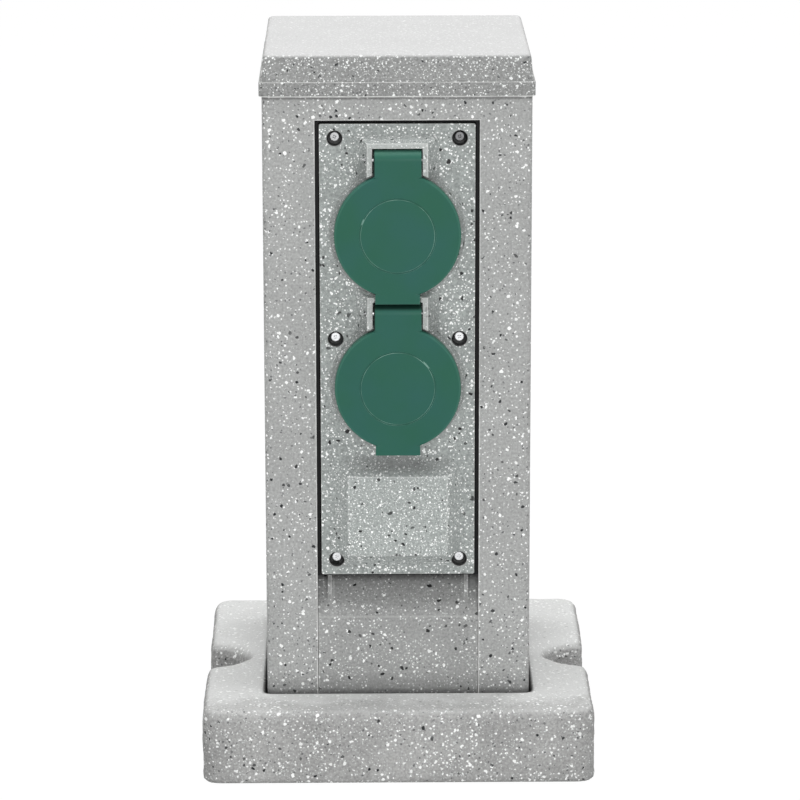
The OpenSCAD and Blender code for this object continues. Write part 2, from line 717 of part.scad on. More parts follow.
// Socket housing: a closed tray behind the faceplate, whose flange slides in the rails
module socket_housing() color(black_plastic) {
  mid_z = (flange_z + flange_top_z) / 2;
  body_mid_z = (housing_z + housing_top_z) / 2;
  body_h = housing_top_z - housing_z;
  difference() {
    union() {
      facing(0, flange_back_y, mid_z) linear_extrude(flange_t) rounded(flange_w, flange_top_z - flange_z, 2);
      facing(0, housing_back_y, body_mid_z) linear_extrude(housing_d) rounded(housing_w, body_h, 3);
    }
    facing(0, housing_back_y - housing_wall, body_mid_z) linear_extrude(housing_d + flange_t + over)
      rounded(2 * housing_half, body_h - 2 * housing_wall, 1);
    for (p = screw_places) rod(p[0], p[1], tube_r + loose_fit, flange_y - over, tube_end_y);
    translate([0, gland_y, housing_z - over]) cylinder(r = gland_r + snug_fit, h = housing_wall + 2 * over);
  }
  for (p = screw_places) difference() {
    intersection() {
      rod(p[0], p[1], tube_r, tube_end_y, tube_end_y + plate_screw_l);
      span([-housing_half - slice, tube_end_y, housing_z], [housing_half + slice, housing_back_y, housing_top_z]);
    }
    rod(p[0], p[1], plate_screw_r + thread_fit, tube_end_y - over, tube_end_y + plate_screw_l - over);
  }
}

// Foam gasket between the faceplate and the housing's flange, with an eye at each screw
module faceplate_gasket() color(black_rubber) facing(0, flange_y, 0) linear_extrude(gasket_t) difference() {
  union() {
    translate([0, plate_mid_z]) difference() {
      rounded(plate_w + 2 * gasket_out, plate_h + 2 * gasket_out, plate_corner_r);
      square([plate_w - 2 * gasket_w, plate_h - 2 * gasket_w], center = true);
    }
    for (p = screw_places) translate(p) circle(tube_r + loose_fit + 1.4);
  }
  for (p = screw_places) translate(p) circle(tube_r + loose_fit);
}

// Faceplate with its collars, hinge housings and raised box
module collar(z) on_plate(0, z, -plate_t) {
  translate([0, 0, plate_t]) cylinder(r1 = collar_foot_r, r2 = collar_top_r, h = collar_h);
  cylinder(r = neck_r, h = plate_t + neck_h);
  translate([0, 0, plate_t - guide_l]) cylinder(r = guide_r + guide_wall, h = guide_l);
}

module collar_bore(z) on_plate(0, z, 0) {
  translate([0, 0, -guide_l - over]) cylinder(r = guide_r, h = guide_l + over + insert_front + 0.2);
  cylinder(r = lip_r, h = neck_h + over);
}

// Reliefs at both sides behind a collar that keep its wall even
module collar_relief(z) for (from = [155, 305]) on_plate(0, z, -plate_t) rotate(from) rotate_extrude(angle = 80)
  polygon([[relief_in_r, -over], [relief_in_r, plate_t + collar_h - relief_t],
    [collar_top_r - relief_t, plate_t + collar_h - relief_t], [collar_foot_r - relief_t, -over]]);

module hinge_housing(z) difference() {
  low = 12;
  high = hinge_up + barrel_r + housing_gap + cheek_t;
  intersection() {
    translate([0, 0, z + low]) linear_extrude(high + housing_top_slope - low)
      polygon([[-cheek_out - housing_slope, plate_y + slice], [cheek_out + housing_slope, plate_y + slice],
        [cheek_out, plate_y - housing_out], [-cheek_out, plate_y - housing_out]]);
    profile(2 * (cheek_out + housing_slope)) polygon([[plate_y + slice, z + low],
      [plate_y + slice, z + high + housing_top_slope], [plate_y - housing_out, z + high],
      [plate_y - housing_out, z + low]]);
  }
  for (other = socket_z) {
    on_plate(0, other, collar_h) cylinder(r = collar_top_r + slice, h = housing_out);
    span([-tab_w / 2 - lid_gap, plate_y - housing_out - over, other - tab_reach - lid_gap],
      [tab_w / 2 + lid_gap, lid_face_y + tab_t + lid_gap, other]);
  }
}

module hinge_cavity(z) {
  span([-cheek_in, plate_y - housing_out - over, z + cavity_low],
    [cheek_in, plate_y - housing_floor, z + cavity_top]);
  span([-cheek_in, plate_y - housing_out - over, z + neck_r],
    [cheek_in, plate_y - collar_h, z + cavity_top]);
  bar(-cheek_out - housing_slope - over, pin_right + 0.1, hinge_y, z + hinge_up, pin_bore_r);
}

// The raised box, shrunk by a wall or not, whose slopes run on by sunk into the plate
module raised_box(shrink, sunk) hull() {
  foot = 2 * (box_slope * (1 + sunk / box_out) - shrink);
  on_plate(0, box_mid_z, -shrink - sunk) linear_extrude(slice)
    rounded(box_w + foot, box_h + foot, box_corner_r - shrink, $fn = hull_fn);
  on_plate(0, box_mid_z, box_out - shrink - slice) linear_extrude(slice)
    rounded(box_w - 2 * shrink, box_h - 2 * shrink, box_face_r, $fn = hull_fn);
}

// The space inside the raised box, round the tubes that pass through its corners
module box_hollow() difference() {
  raised_box(plate_t, over);
  for (p = screw_places) rod(p[0], p[1], tube_r, plate_y - box_out, plate_back_y + over);
}

module faceplate() color(plate_grey) difference() {
  union() {
    on_plate(0, plate_mid_z, -plate_t) linear_extrude(plate_t) rounded(plate_w, plate_h, plate_corner_r);
    for (z = socket_z) {
      collar(z);
      hinge_housing(z);
      for (s = [-1, 1]) rod(0, z + s * insert_screw_up, insert_boss_r, plate_back_y - slice, guide_end_y);
    }
    raised_box(0, plate_t / 2);
    for (p = screw_places) rod(p[0], p[1], tube_r, plate_y, tube_end_y);
  }
  for (z = socket_z) {
    collar_bore(z);
    collar_relief(z);
    hinge_cavity(z);
    for (s = [-1, 1])
      rod(0, z + s * insert_screw_up, insert_screw_r + thread_fit, plate_back_y + 0.5, guide_end_y + over);
  }
  box_hollow();
  for (p = screw_places) {
    rod(p[0], p[1], counterbore_r, plate_y - box_out - over, seat_y);
    rod(p[0], p[1], plate_screw_r + loose_fit, seat_y - over, tube_end_y + over);
  }
}

module faceplate_screws() color(steel) for (p = screw_places) {
  rod(p[0], p[1], plate_head_r, seat_y - plate_head_h, seat_y);
  rod(p[0], p[1], plate_screw_r, seat_y - slice, seat_y + plate_screw_l);
}

// Socket insert: the plug recess with its guide ribs, pin holes and contact chambers
module socket_insert(z) color(black_plastic) difference() {
  union() {
    on_plate(0, z, -recess_d + neck_h - insert_floor_t) difference() {
      cylinder(r = recess_r + insert_wall, h = recess_d + insert_floor_t - 1.3);
      translate([0, 0, insert_floor_t]) cylinder(r = recess_r, h = recess_d);
    }
    facing(0, guide_end_y + insert_flange_t, z) linear_extrude(insert_flange_t) difference() {
      union() {
        circle(insert_flange_r);
        for (s = [-1, 1]) translate([0, s * insert_screw_up]) circle(insert_boss_r);
        square([2 * insert_boss_r, 2 * insert_screw_up], center = true);
      }
      circle(recess_r + insert_wall - slice);
      for (s = [-1, 1]) translate([0, s * insert_screw_up]) circle(insert_screw_r + snug_fit);
    }
    intersection() {
      rod(0, z, recess_r + slice, plate_y - neck_h + 3, recess_floor_y + slice);
      for (s = [-1, 1]) mirror([s < 0 ? 1 : 0, 0, 0])
        span([recess_r - guide_rib_d, plate_y - neck_h, z - guide_rib_w / 2],
          [recess_r + over, recess_floor_y + over, z + guide_rib_w / 2]);
    }
    for (s = [-1, 1]) translate([s * pin_pitch / 2, 0, 0])
      span([-chamber_w / 2, floor_back_y - slice, z - chamber_h / 2], [chamber_w / 2, chamber_back_y, z + chamber_h / 2]);
  }
  for (s = [-1, 1]) {
    rod(s * pin_pitch / 2, z, pin_hole_r, recess_floor_y - over, floor_back_y + over);
    translate([s * pin_pitch / 2, 0, 0]) span([chamber_wall - chamber_w / 2, floor_back_y, z - chamber_h / 2 + chamber_wall],
      [chamber_w / 2 - chamber_wall, chamber_back_y - chamber_wall, z + chamber_h / 2 - chamber_wall]);
    for (t = [-1, 1]) rod(s * pin_pitch / 2, z + t * wire_off_z, wire_r + loose_fit, contact_back_y,
      chamber_back_y + over);
    translate([0, 0, z]) mirror([0, 0, s < 0 ? 1 : 0]) span([-earth_w / 2 - snug_fit, recess_floor_y - over,
      earth_in - snug_fit], [earth_w / 2 + snug_fit, floor_back_y + over, earth_out + snug_fit]);
  }
}
module socket_insert_upper() socket_insert(upper_z);
module socket_insert_lower() socket_insert(lower_z);

// Four screws that hold the two inserts to the faceplate's bosses
module insert_screws() color(steel) for (z = socket_z) for (s = [-1, 1]) {
  at = z + s * insert_screw_up;
  rod(0, at, insert_boss_r - 0.4, guide_end_y + insert_flange_t, guide_end_y + insert_flange_t + 1.6);
  rod(0, at, insert_screw_r, guide_end_y + insert_flange_t - insert_screw_l, guide_end_y + insert_flange_t);
}

// Earth strap: two sprung clips at the top and bottom of the recess, joined behind it
module earth_strap(z) color(brass) {
  clip_front_y = plate_y - neck_h + 4;
  bow_y = clip_front_y + 4;
  back_y = floor_back_y + contact_t;
  for (s = [-1, 1]) translate([0, 0, z]) mirror([0, 0, s < 0 ? 1 : 0]) profile(earth_w)
    polygon([[clip_front_y, earth_out - 0.4], [bow_y, earth_out - earth_bow], [bow_y + 3, earth_out - earth_bow],
      [bow_y + 6, earth_out], [back_y, earth_out], [back_y, earth_in],
      [bow_y + 6.2, earth_in], [bow_y + 3.2, earth_in - earth_bow], [bow_y - 0.2, earth_in - earth_bow],
      [clip_front_y, earth_in - 0.4]]);
  span([-earth_w / 2, floor_back_y, z - earth_out], [earth_w / 2, back_y, z + earth_out]);
  span([-earth_w / 2, back_y - slice, z - contact_t / 2], [earth_w / 2, back_y + earth_tab_l, z + contact_t / 2]);
}
module earth_strap_upper() earth_strap(upper_z);
module earth_strap_lower() earth_strap(lower_z);

// Sprung brass contacts for the plug's two pins
module contacts(z) color(brass) for (s = [-1, 1]) translate([s * pin_pitch / 2, 0, 0]) {
  half = contact_gap / 2 + contact_t;
  for (t = [-1, 1]) translate([t * (half - contact_t / 2), 0, 0])
    span([-contact_t / 2, contact_front_y, z - contact_w / 2], [contact_t / 2, contact_back_y, z + contact_w / 2]);
  span([-half, contact_back_y - contact_t, z - contact_w / 2], [half, contact_back_y, z + contact_w / 2]);
}
module contacts_upper() contacts(upper_z);
module contacts_lower() contacts(lower_z);

// Lid: a disc with a skirt, a finger tab and a hinge barrel that hides the spring
module lid_profile() difference() {
  union() {
    translate([0, skirt_low]) square([lid_r, lid_face - skirt_low - lid_edge_r]);
    square_top = lid_face - lid_edge_r;
    translate([0, square_top - slice]) square([lid_r - lid_edge_r, lid_edge_r + slice]);
    translate([lid_r - lid_edge_r, square_top]) circle(lid_edge_r);
  }
  translate([-over, skirt_low - over]) square([lid_r - lid_skirt_t + over, lid_under - skirt_low + over]);
  translate([-over, -over]) square([over, lid_face + 2 * over]);
  translate([lid_ring_r - lid_ring_w / 2, lid_face - lid_ring_d]) square([lid_ring_w, 2 * lid_ring_d]);
}

module lid(z) color(lid_green) difference() {
  union() {
    on_plate(0, z, 0) rotate_extrude() lid_profile();
    skirt_in = lid_r - lid_skirt_t;
    span([-tab_w / 2, lid_face_y, z - tab_reach], [tab_w / 2, lid_face_y + tab_t, z - skirt_in]);
    span([-lid_tongue_w / 2, lid_face_y, z + skirt_in], [lid_tongue_w / 2, lid_face_y + tab_t, z + hinge_up]);
    bar(-lid_tongue_w / 2, lid_tongue_w / 2, hinge_y, z + hinge_up, barrel_r);
  }
  bar(-lid_tongue_w, lid_tongue_w, hinge_y, z + hinge_up, pin_bore_r);
  bar(-spring_space_l, spring_space_l, hinge_y, z + hinge_up, spring_space_r);
  span([-spring_space_l, hinge_y, z + hinge_up - barrel_r - over],
    [spring_space_l, hinge_y + barrel_r + over, z + hinge_up + barrel_r + over]);
}
module lid_upper() lid(upper_z);
module lid_lower() lid(lower_z);

// Soft ring in the lid that meets the neck of the socket
module lid_seal(z) color(black_rubber) on_plate(0, z, neck_h + seal_gap) difference() {
  cylinder(r = seal_r, h = lid_under - neck_h - seal_gap);
  translate([0, 0, -over]) cylinder(r = seal_in_r, h = lid_t + 2 * over);
}
module lid_seal_upper() lid_seal(upper_z);
module lid_seal_lower() lid_seal(lower_z);

module hinge_pin(z) color(steel) bar(-pin_left, pin_right, hinge_y, z + hinge_up, pin_r);
module hinge_pin_upper() hinge_pin(upper_z);
module hinge_pin_lower() hinge_pin(lower_z);

// Torsion spring round the pin: one leg on the housing's floor, the other in the barrel
module hinge_spring(z) color(steel) {
  axis = [0, hinge_y, z + hinge_up];
  half = spring_turns * spring_pitch / 2;
  start = axis + [-half, spring_r, 0];
  steps = 12;
  coil = [for (i = [0:steps * spring_turns + 3]) let (a = 360 * i / steps)
    axis + [min(i * spring_pitch / steps - half, half), spring_r * cos(a), spring_r * sin(a)]];
  floor_y = plate_y - housing_floor - spring_wire_r;
  leg = [[start[0], floor_y, start[2] - barrel_r - 0.2], [start[0], start[1] + 0.6, start[2] - 3.2],
    [start[0], start[1], start[2] - 1.6]];
  tip = axis + [half, -0.7, spring_r + 0.25];
  tube(concat(leg, coil, [tip]), spring_wire_r, 6);
}
module hinge_spring_upper() hinge_spring(upper_z);
module hinge_spring_lower() hinge_spring(lower_z);

// Cable gland in the housing's lower wall
module gland_body() color(black_plastic) translate([0, gland_y, 0]) difference() {
  union() {
    translate([0, 0, gland_under_z]) rotate(30) cylinder(r = gland_flats / sqrt(3), h = gland_flange_h, $fn = 6);
    translate([0, 0, gland_under_z]) cylinder(r = gland_r, h = gland_flange_h + housing_wall + locknut_h + 2);
    translate([0, 0, gland_under_z - gland_neck_h]) cylinder(r = gland_r, h = gland_neck_h + slice);
  }
  translate([0, 0, gland_under_z - gland_neck_h - over])
    cylinder(r = gland_bore_r + 0.4, h = gland_neck_h + gland_flange_h + housing_wall + locknut_h + 4 * over);
  translate([0, 0, gland_under_z - gland_neck_h - over]) cylinder(r = gland_bore_r + 1.9, h = gland_neck_h);
}

module gland_seal() color(black_rubber) translate([0, gland_y, gland_under_z - gland_neck_h]) difference() {
  cylinder(r = gland_bore_r + 1.8, h = gland_neck_h - over);
  translate([0, 0, -over]) cylinder(r = gland_bore_r, h = gland_neck_h + over);
}

module gland_nut() color(black_plastic) translate([0, gland_y, gland_under_z - gland_nut_h - snug_fit]) difference() {
  intersection() {
    rotate(30) cylinder(r = gland_flats / sqrt(3), h = gland_nut_h, $fn = 6);
    cylinder(r1 = gland_r, r2 = gland_r + gland_nut_h, h = gland_nut_h);
  }
  translate([0, 0, gland_nut_h - gland_neck_h]) cylinder(r = gland_r + thread_fit, h = gland_neck_h + over);
  translate([0, 0, -over]) cylinder(r = gland_bore_r + 0.4, h = gland_nut_h);
}

module gland_locknut() color(black_plastic) translate([0, gland_y, housing_z + housing_wall]) difference() {
  cylinder(r = (gland_flats + 2) / sqrt(3), h = locknut_h, $fn = 6);
  translate([0, 0, -over]) cylinder(r = gland_r + thread_fit, h = locknut_h + 2 * over);
}

// Terminal block on the housing's back wall: body, brass clamps and their screws
module terminal_block() color(white_plastic) difference() {
  back_y = terminal_y + terminal_d / 2;
  span([-terminal_w / 2, back_y - terminal_d, terminal_z], [terminal_w / 2, back_y, terminal_z + terminal_h]);
  for (x = poles) {
    translate([x, terminal_y, terminal_z - over]) cylinder(r = clamp_r + snug_fit, h = terminal_h + 2 * over);
    for (s = [-1, 1]) rod(x, terminal_z + terminal_h / 2 + s * terminal_h / 4, clamp_r - 0.2,
      back_y - terminal_d - over, terminal_y);
  }
}

module terminal_clamps() color(brass) for (x = poles) translate([x, terminal_y, terminal_z + 1]) difference() {
  cylinder(r = clamp_r, h = terminal_h - 2);
  translate([0, 0, -over]) cylinder(r = terminal_way_r, h = terminal_h);
  for (s = [-1, 1]) translate([0, 0, terminal_h / 2 - 1 + s * terminal_h / 4]) rotate([90, 0, 0])
    cylinder(r = 1.5 + thread_fit, h = clamp_r + over);
}

module terminal_screws() color(steel) for (x = poles) for (s = [-1, 1]) {
  z = terminal_z + terminal_h / 2 + s * terminal_h / 4;
  front_y = terminal_y - terminal_d / 2 + 1;
  rod(x, z, 2.2, front_y, front_y + 2);
  rod(x, z, 1.5, front_y + 2 - slice, terminal_y - wire_r - 0.2);
}

// Wires held inside the housing, from the terminals to the contacts
module wires(x, off_z, end_y) for (way = [way_lower(off_z, end_y), way_upper(off_z, end_y)])
  tube([for (p = smooth(way, wire_steps)) [x, p[0], p[1]]], wire_r, wire_sides);
module wires_live() color("saddlebrown") wires(poles[0], wire_off_z, wire_end_y);
module wires_neutral() color("royalblue") wires(poles[2], wire_off_z, wire_end_y);
module wires_earth() color("yellowgreen") wires(poles[1], earth_off_z, earth_end_y);

base_block();
entry_grommet();
column();
column_screws();
cap();
apron();
socket_housing();
faceplate_gasket();
faceplate();
faceplate_screws();
socket_insert_upper();
socket_insert_lower();
insert_screws();
earth_strap_upper();
earth_strap_lower();
contacts_upper();
contacts_lower();
lid_upper();
lid_lower();
lid_seal_upper();
lid_seal_lower();
hinge_pin_upper();
hinge_pin_lower();
hinge_spring_upper();
hinge_spring_lower();
gland_body();
gland_seal();
gland_nut();
gland_locknut();
terminal_block();
terminal_clamps();
terminal_screws();
wires_live();
wires_neutral();
wires_earth();
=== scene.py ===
# %% [markdown]
# # A garden socket post
# The post is a square tube of speckled plastic on a block that looks like cast stone. A window in its front
# holds a plate with two sockets under round green lids. The pieces come from a imported model, which already
# has the right sizes, so this lesson adds what a model of plain solids lacks: edges that catch the light,
# stone that isn't flat, screws with a drive, and plastics with chips, grain and wear. Light and shade are
# also painted into some of the colours.

# %% Load the imported model
import json
import math

import bmesh
import bpy
import numpy as np
from mathutils import Euler, Matrix, Vector


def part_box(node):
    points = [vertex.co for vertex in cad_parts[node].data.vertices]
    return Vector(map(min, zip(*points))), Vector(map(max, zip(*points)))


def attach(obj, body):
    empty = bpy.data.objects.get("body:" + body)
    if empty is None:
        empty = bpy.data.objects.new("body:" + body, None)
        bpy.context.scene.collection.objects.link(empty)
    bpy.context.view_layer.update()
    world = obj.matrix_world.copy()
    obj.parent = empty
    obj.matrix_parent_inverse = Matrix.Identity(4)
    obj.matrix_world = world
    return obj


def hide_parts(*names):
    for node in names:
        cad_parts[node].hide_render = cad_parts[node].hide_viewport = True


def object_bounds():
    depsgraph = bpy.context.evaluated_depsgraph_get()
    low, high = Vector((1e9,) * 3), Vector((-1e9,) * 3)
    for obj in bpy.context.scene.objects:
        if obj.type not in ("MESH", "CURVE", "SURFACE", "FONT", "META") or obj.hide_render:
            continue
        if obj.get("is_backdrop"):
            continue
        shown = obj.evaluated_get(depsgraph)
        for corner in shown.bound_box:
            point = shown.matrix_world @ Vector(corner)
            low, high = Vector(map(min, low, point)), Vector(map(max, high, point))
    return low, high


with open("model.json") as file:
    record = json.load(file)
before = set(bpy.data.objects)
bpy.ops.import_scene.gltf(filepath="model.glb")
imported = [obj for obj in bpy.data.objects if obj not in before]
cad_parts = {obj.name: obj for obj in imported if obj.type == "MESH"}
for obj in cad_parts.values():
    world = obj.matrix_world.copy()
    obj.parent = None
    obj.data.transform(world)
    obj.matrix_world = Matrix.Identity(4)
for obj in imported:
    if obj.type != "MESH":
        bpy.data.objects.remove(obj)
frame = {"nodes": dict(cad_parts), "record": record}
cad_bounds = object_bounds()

MM = 0.001
slot_of = {part["node"]: part["material_slot"] for part in frame["record"]["subparts"]}

# %% [markdown]
# ## Helpers for node trees
# Materials and Geometry Nodes are both trees of nodes. A script that builds them can be run again and read
# by others. A few short helpers keep each tree close to a formula: one adds a node, one fills a socket with
# a value or a link, one places a node group, and the rest do sums.


# %% Fill a socket and add a node
def plug(tree, socket, value):
    """Links an output to a socket, or writes a plain value into it."""
    if isinstance(value, bpy.types.NodeSocket):
        tree.links.new(value, socket)
    else:
        socket.default_value = value


def node(tree, kind, inputs=None, **options):
    """Adds a node, sets its options, and fills its inputs, given by name or by number."""
    made = tree.nodes.new(kind)
    for option, value in options.items():
        setattr(made, option, value)
    for key, value in (inputs or {}).items():
        plug(tree, made.inputs[key], value)
    return made


# %% Sums
def maths(tree, operation, *values, clamp=False):
    """A Math node on up to three values."""
    made = node(tree, "ShaderNodeMath", dict(enumerate(values)), operation=operation, use_clamp=clamp)
    return made.outputs[0]


def product(tree, first, *others):
    """Two or more values multiplied."""
    for other in others:
        first = maths(tree, "MULTIPLY", first, other)
    return first


def rest_of(tree, share):
    """What a share leaves of 1."""
    return maths(tree, "SUBTRACT", 1.0, share)


def vector_maths(tree, operation, *values):
    """A Vector Math node on two vectors."""
    return node(tree, "ShaderNodeVectorMath", dict(enumerate(values)), operation=operation).outputs[0]


def scaled(tree, vector, factor):
    """A vector times a number."""
    return node(tree, "ShaderNodeVectorMath", {0: vector, "Scale": factor}, operation="SCALE").outputs[0]


def ramp(tree, value, low, high, to_low=0.0, to_high=1.0):
    """Turns the range low to high into another, and holds it there past its ends."""
    inputs = {"Value": value, "From Min": low, "From Max": high, "To Min": to_low, "To Max": to_high}
    return node(tree, "ShaderNodeMapRange", inputs, clamp=True).outputs["Result"]


def fade(tree, value, low, high, start=1.0):
    """A ramp that falls from its start to 0."""
    return ramp(tree, value, low, high, start, 0)


# %% Colours, noise and places
MIX_SHARE, MIX_BELOW, MIX_ABOVE, MIX_COLOUR = 0, 6, 7, 2


def mixed(tree, amount, below, above):
    """A Mix node on two colours."""
    inputs = {MIX_SHARE: amount, MIX_BELOW: below, MIX_ABOVE: above}
    return node(tree, "ShaderNodeMix", inputs, data_type="RGBA").outputs[MIX_COLOUR]


def screen(red, green, blue):
    """A colour as a screen gives it, from 0 to 255, in Blender's linear values."""
    def channel(value):
        value /= 255
        return value / 12.92 if value <= 0.04045 else ((value + 0.055) / 1.055) ** 2.4
    return channel(red), channel(green), channel(blue), 1


def noise(tree, where, scale, detail=2.0):
    """The value of a Noise Texture."""
    return node(tree, "ShaderNodeTexNoise", {"Vector": where, "Scale": scale, "Detail": detail}).outputs[0]


def per_metre(tree, size):
    """How often a size in millimetres goes into a metre, which is the scale of a texture."""
    return maths(tree, "DIVIDE", 1 / MM, size)


def place_on(tree):
    """A point's place in its object's own coordinates, in metres."""
    return node(tree, "ShaderNodeTexCoord").outputs["Object"]


def in_mm(tree, where):
    """The three coordinates of a place, in millimetres."""
    return node(tree, "ShaderNodeSeparateXYZ", {0: scaled(tree, where, 1 / MM)}).outputs


def marked(tree, name):
    """A mark that the mesh carries, from 0 to 1."""
    return node(tree, "ShaderNodeAttribute", attribute_name=name).outputs["Fac"]


# %% Make and place node groups
SOCKETS = {"number": "NodeSocketFloat", "vector": "NodeSocketVector", "geometry": "NodeSocketGeometry",
           "material": "NodeSocketMaterial", "object": "NodeSocketObject"}


def new_group(name, inputs, outputs, kind="ShaderNodeTree"):
    """An empty node group, with the sockets named as (name, kind) or (name, kind, value)."""
    tree = bpy.data.node_groups.new(name, kind)
    for label, socket_kind, *value in inputs:
        socket = tree.interface.new_socket(label, in_out="INPUT", socket_type=SOCKETS[socket_kind])
        if value:
            socket.default_value = value[0]
    for label, socket_kind in outputs:
        tree.interface.new_socket(label, in_out="OUTPUT", socket_type=SOCKETS[socket_kind])
    return tree, tree.nodes.new("NodeGroupInput").outputs, tree.nodes.new("NodeGroupOutput").inputs


def place(tree, group, **inputs):
    """Places a node group in a material and returns its outputs."""
    return node(tree, "ShaderNodeGroup", inputs, node_tree=group).outputs


# %% [markdown]
# ## The camera
# The picture was taken from a little above, with a long lens, so upright edges stay almost upright. A
# camera that looks slightly down from 1.6 m gives the same view. A shifted lens would keep them truly
# upright but spoil every other view, so the camera is tilted instead. It leans by a tenth of a degree too.

# %% Place the camera
camera_at = Vector((-13.8, -1594.5, 540.6)) * MM
pitch_down = math.radians(14.05)
turn_right = math.radians(0.548)
lean = math.radians(-0.1)
focal_pixels = 3917
frame_pixels = 800
sensor_mm = 36

camera_data = bpy.data.cameras.new("camera")
camera_data.sensor_width = sensor_mm
camera_data.lens = focal_pixels / frame_pixels * sensor_mm
camera = bpy.data.objects.new("camera", camera_data)
camera.location = camera_at
aim = Euler((math.pi / 2 - pitch_down, 0, -turn_right)).to_matrix() @ Matrix.Rotation(lean, 3, "Z")
camera.rotation_euler = aim.to_euler()
bpy.context.scene.collection.objects.link(camera)
bpy.context.scene.camera = camera
print("lens", round(camera_data.lens, 1), "mm")

# %% [markdown]
# ## Light and background
# The post stands in a white studio. A plain world lights it from all sides. A large soft lamp overhead
# makes the tops pale and puts soft shadows under the lids, and a smaller one in front lifts the upright
# faces. The white of the background belongs to camera rays, gloss, metal and glass, so that it never
# bleaches the plastic. The floor doesn't glow under the base, or it would shine through the gaps.

# %% World and lamps
bpy.context.scene.view_settings.view_transform = "Standard"
white = (1, 1, 1, 1)
sky_level = 0.46
lamps = {"overhead": {"at": (0.02, 0.15, 1.8), "size": 1.5, "power": 31},
         "front": {"at": (0.03, -2.1, 0.62), "size": 0.9, "power": 17.5}}
lamp_target = Vector((0, 0, 0.15))


def seen_rays(tree):
    """1 for rays that show the background: from the camera, or past gloss or glass."""
    path = node(tree, "ShaderNodeLightPath").outputs
    glossy = maths(tree, "MAXIMUM", path["Is Camera Ray"], path["Is Glossy Ray"])
    return maths(tree, "MAXIMUM", glossy, path["Is Transmission Ray"])


world = bpy.data.worlds.new("studio")
world.use_nodes = True
bpy.context.scene.world = world
sky_tree = world.node_tree
sky = sky_tree.nodes["Background"]
sky.inputs["Color"].default_value = white
plug(sky_tree, sky.inputs["Strength"], ramp(sky_tree, seen_rays(sky_tree), 0, 1, sky_level, 1))

for name, values in lamps.items():
    lamp_data = bpy.data.lights.new(name, "AREA")
    lamp_data.shape = "SQUARE"
    lamp_data.size = values["size"]
    lamp_data.energy = values["power"]
    lamp = bpy.data.objects.new(name, lamp_data)
    lamp.location = values["at"]
    lamp.rotation_euler = (lamp_target - lamp.location).to_track_quat("-Z", "Y").to_euler()
    bpy.context.scene.collection.objects.link(lamp)
print("lamps", {name: values["power"] for name, values in lamps.items()}, "W, sky", sky_level)

# %% Floor
half_floor = 3
floor_colour = screen(215, 215, 215)
floor_shade_share = 0.05
glow_strength = 1.03
covered_mm = 70
covered_edge_mm = 2

floor_mesh = bpy.data.meshes.new("floor")
floor_corners = [(x * half_floor, y * half_floor, 0) for x, y in ((-1, -1), (1, -1), (1, 1), (-1, 1))]
floor_mesh.from_pydata(floor_corners, [], [(0, 1, 2, 3)])
floor = bpy.data.objects.new("floor", floor_mesh)
bpy.context.scene.collection.objects.link(floor)
floor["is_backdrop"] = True

floor_finish = bpy.data.materials.new("floor_white")
floor_finish.use_nodes = True
floor_tree = floor_finish.node_tree
floor_shader = floor_tree.nodes["Principled BSDF"]
floor_shader.inputs["Base Color"].default_value = floor_colour
floor_shader.inputs["Roughness"].default_value = 1
floor_shader.inputs["Specular IOR Level"].default_value = 0
glow = node(floor_tree, "ShaderNodeEmission", {"Color": white, "Strength": glow_strength}).outputs[0]
x, y, _ = in_mm(floor_tree, place_on(floor_tree))
reach = maths(floor_tree, "MAXIMUM", maths(floor_tree, "ABSOLUTE", x), maths(floor_tree, "ABSOLUTE", y))
open_floor = ramp(floor_tree, reach, covered_mm - covered_edge_mm, covered_mm)
glow_share = product(floor_tree, open_floor, 1 - floor_shade_share)
share = ramp(floor_tree, seen_rays(floor_tree), 0, 1, 0, glow_share)
floor_mix = node(floor_tree, "ShaderNodeMixShader", {0: share, 1: floor_shader.outputs[0], 2: glow})
plug(floor_tree, floor_tree.nodes["Material Output"].inputs["Surface"], floor_mix.outputs[0])
floor_mesh.materials.append(floor_finish)
print("floor", 2 * half_floor, "m wide")

# %% [markdown]
# ## Chips in the plastic
# The grey pieces are moulded from plastic with pale and dark chips in it. Painting dots would need an
# image, and separate little meshes would be far too many. A Voronoi texture puts one random point in each
# cell of space: only some cells are chosen, each gets its own radius, and the distance to its point becomes
# a chip. A little noise in the coordinates makes the chips uneven.


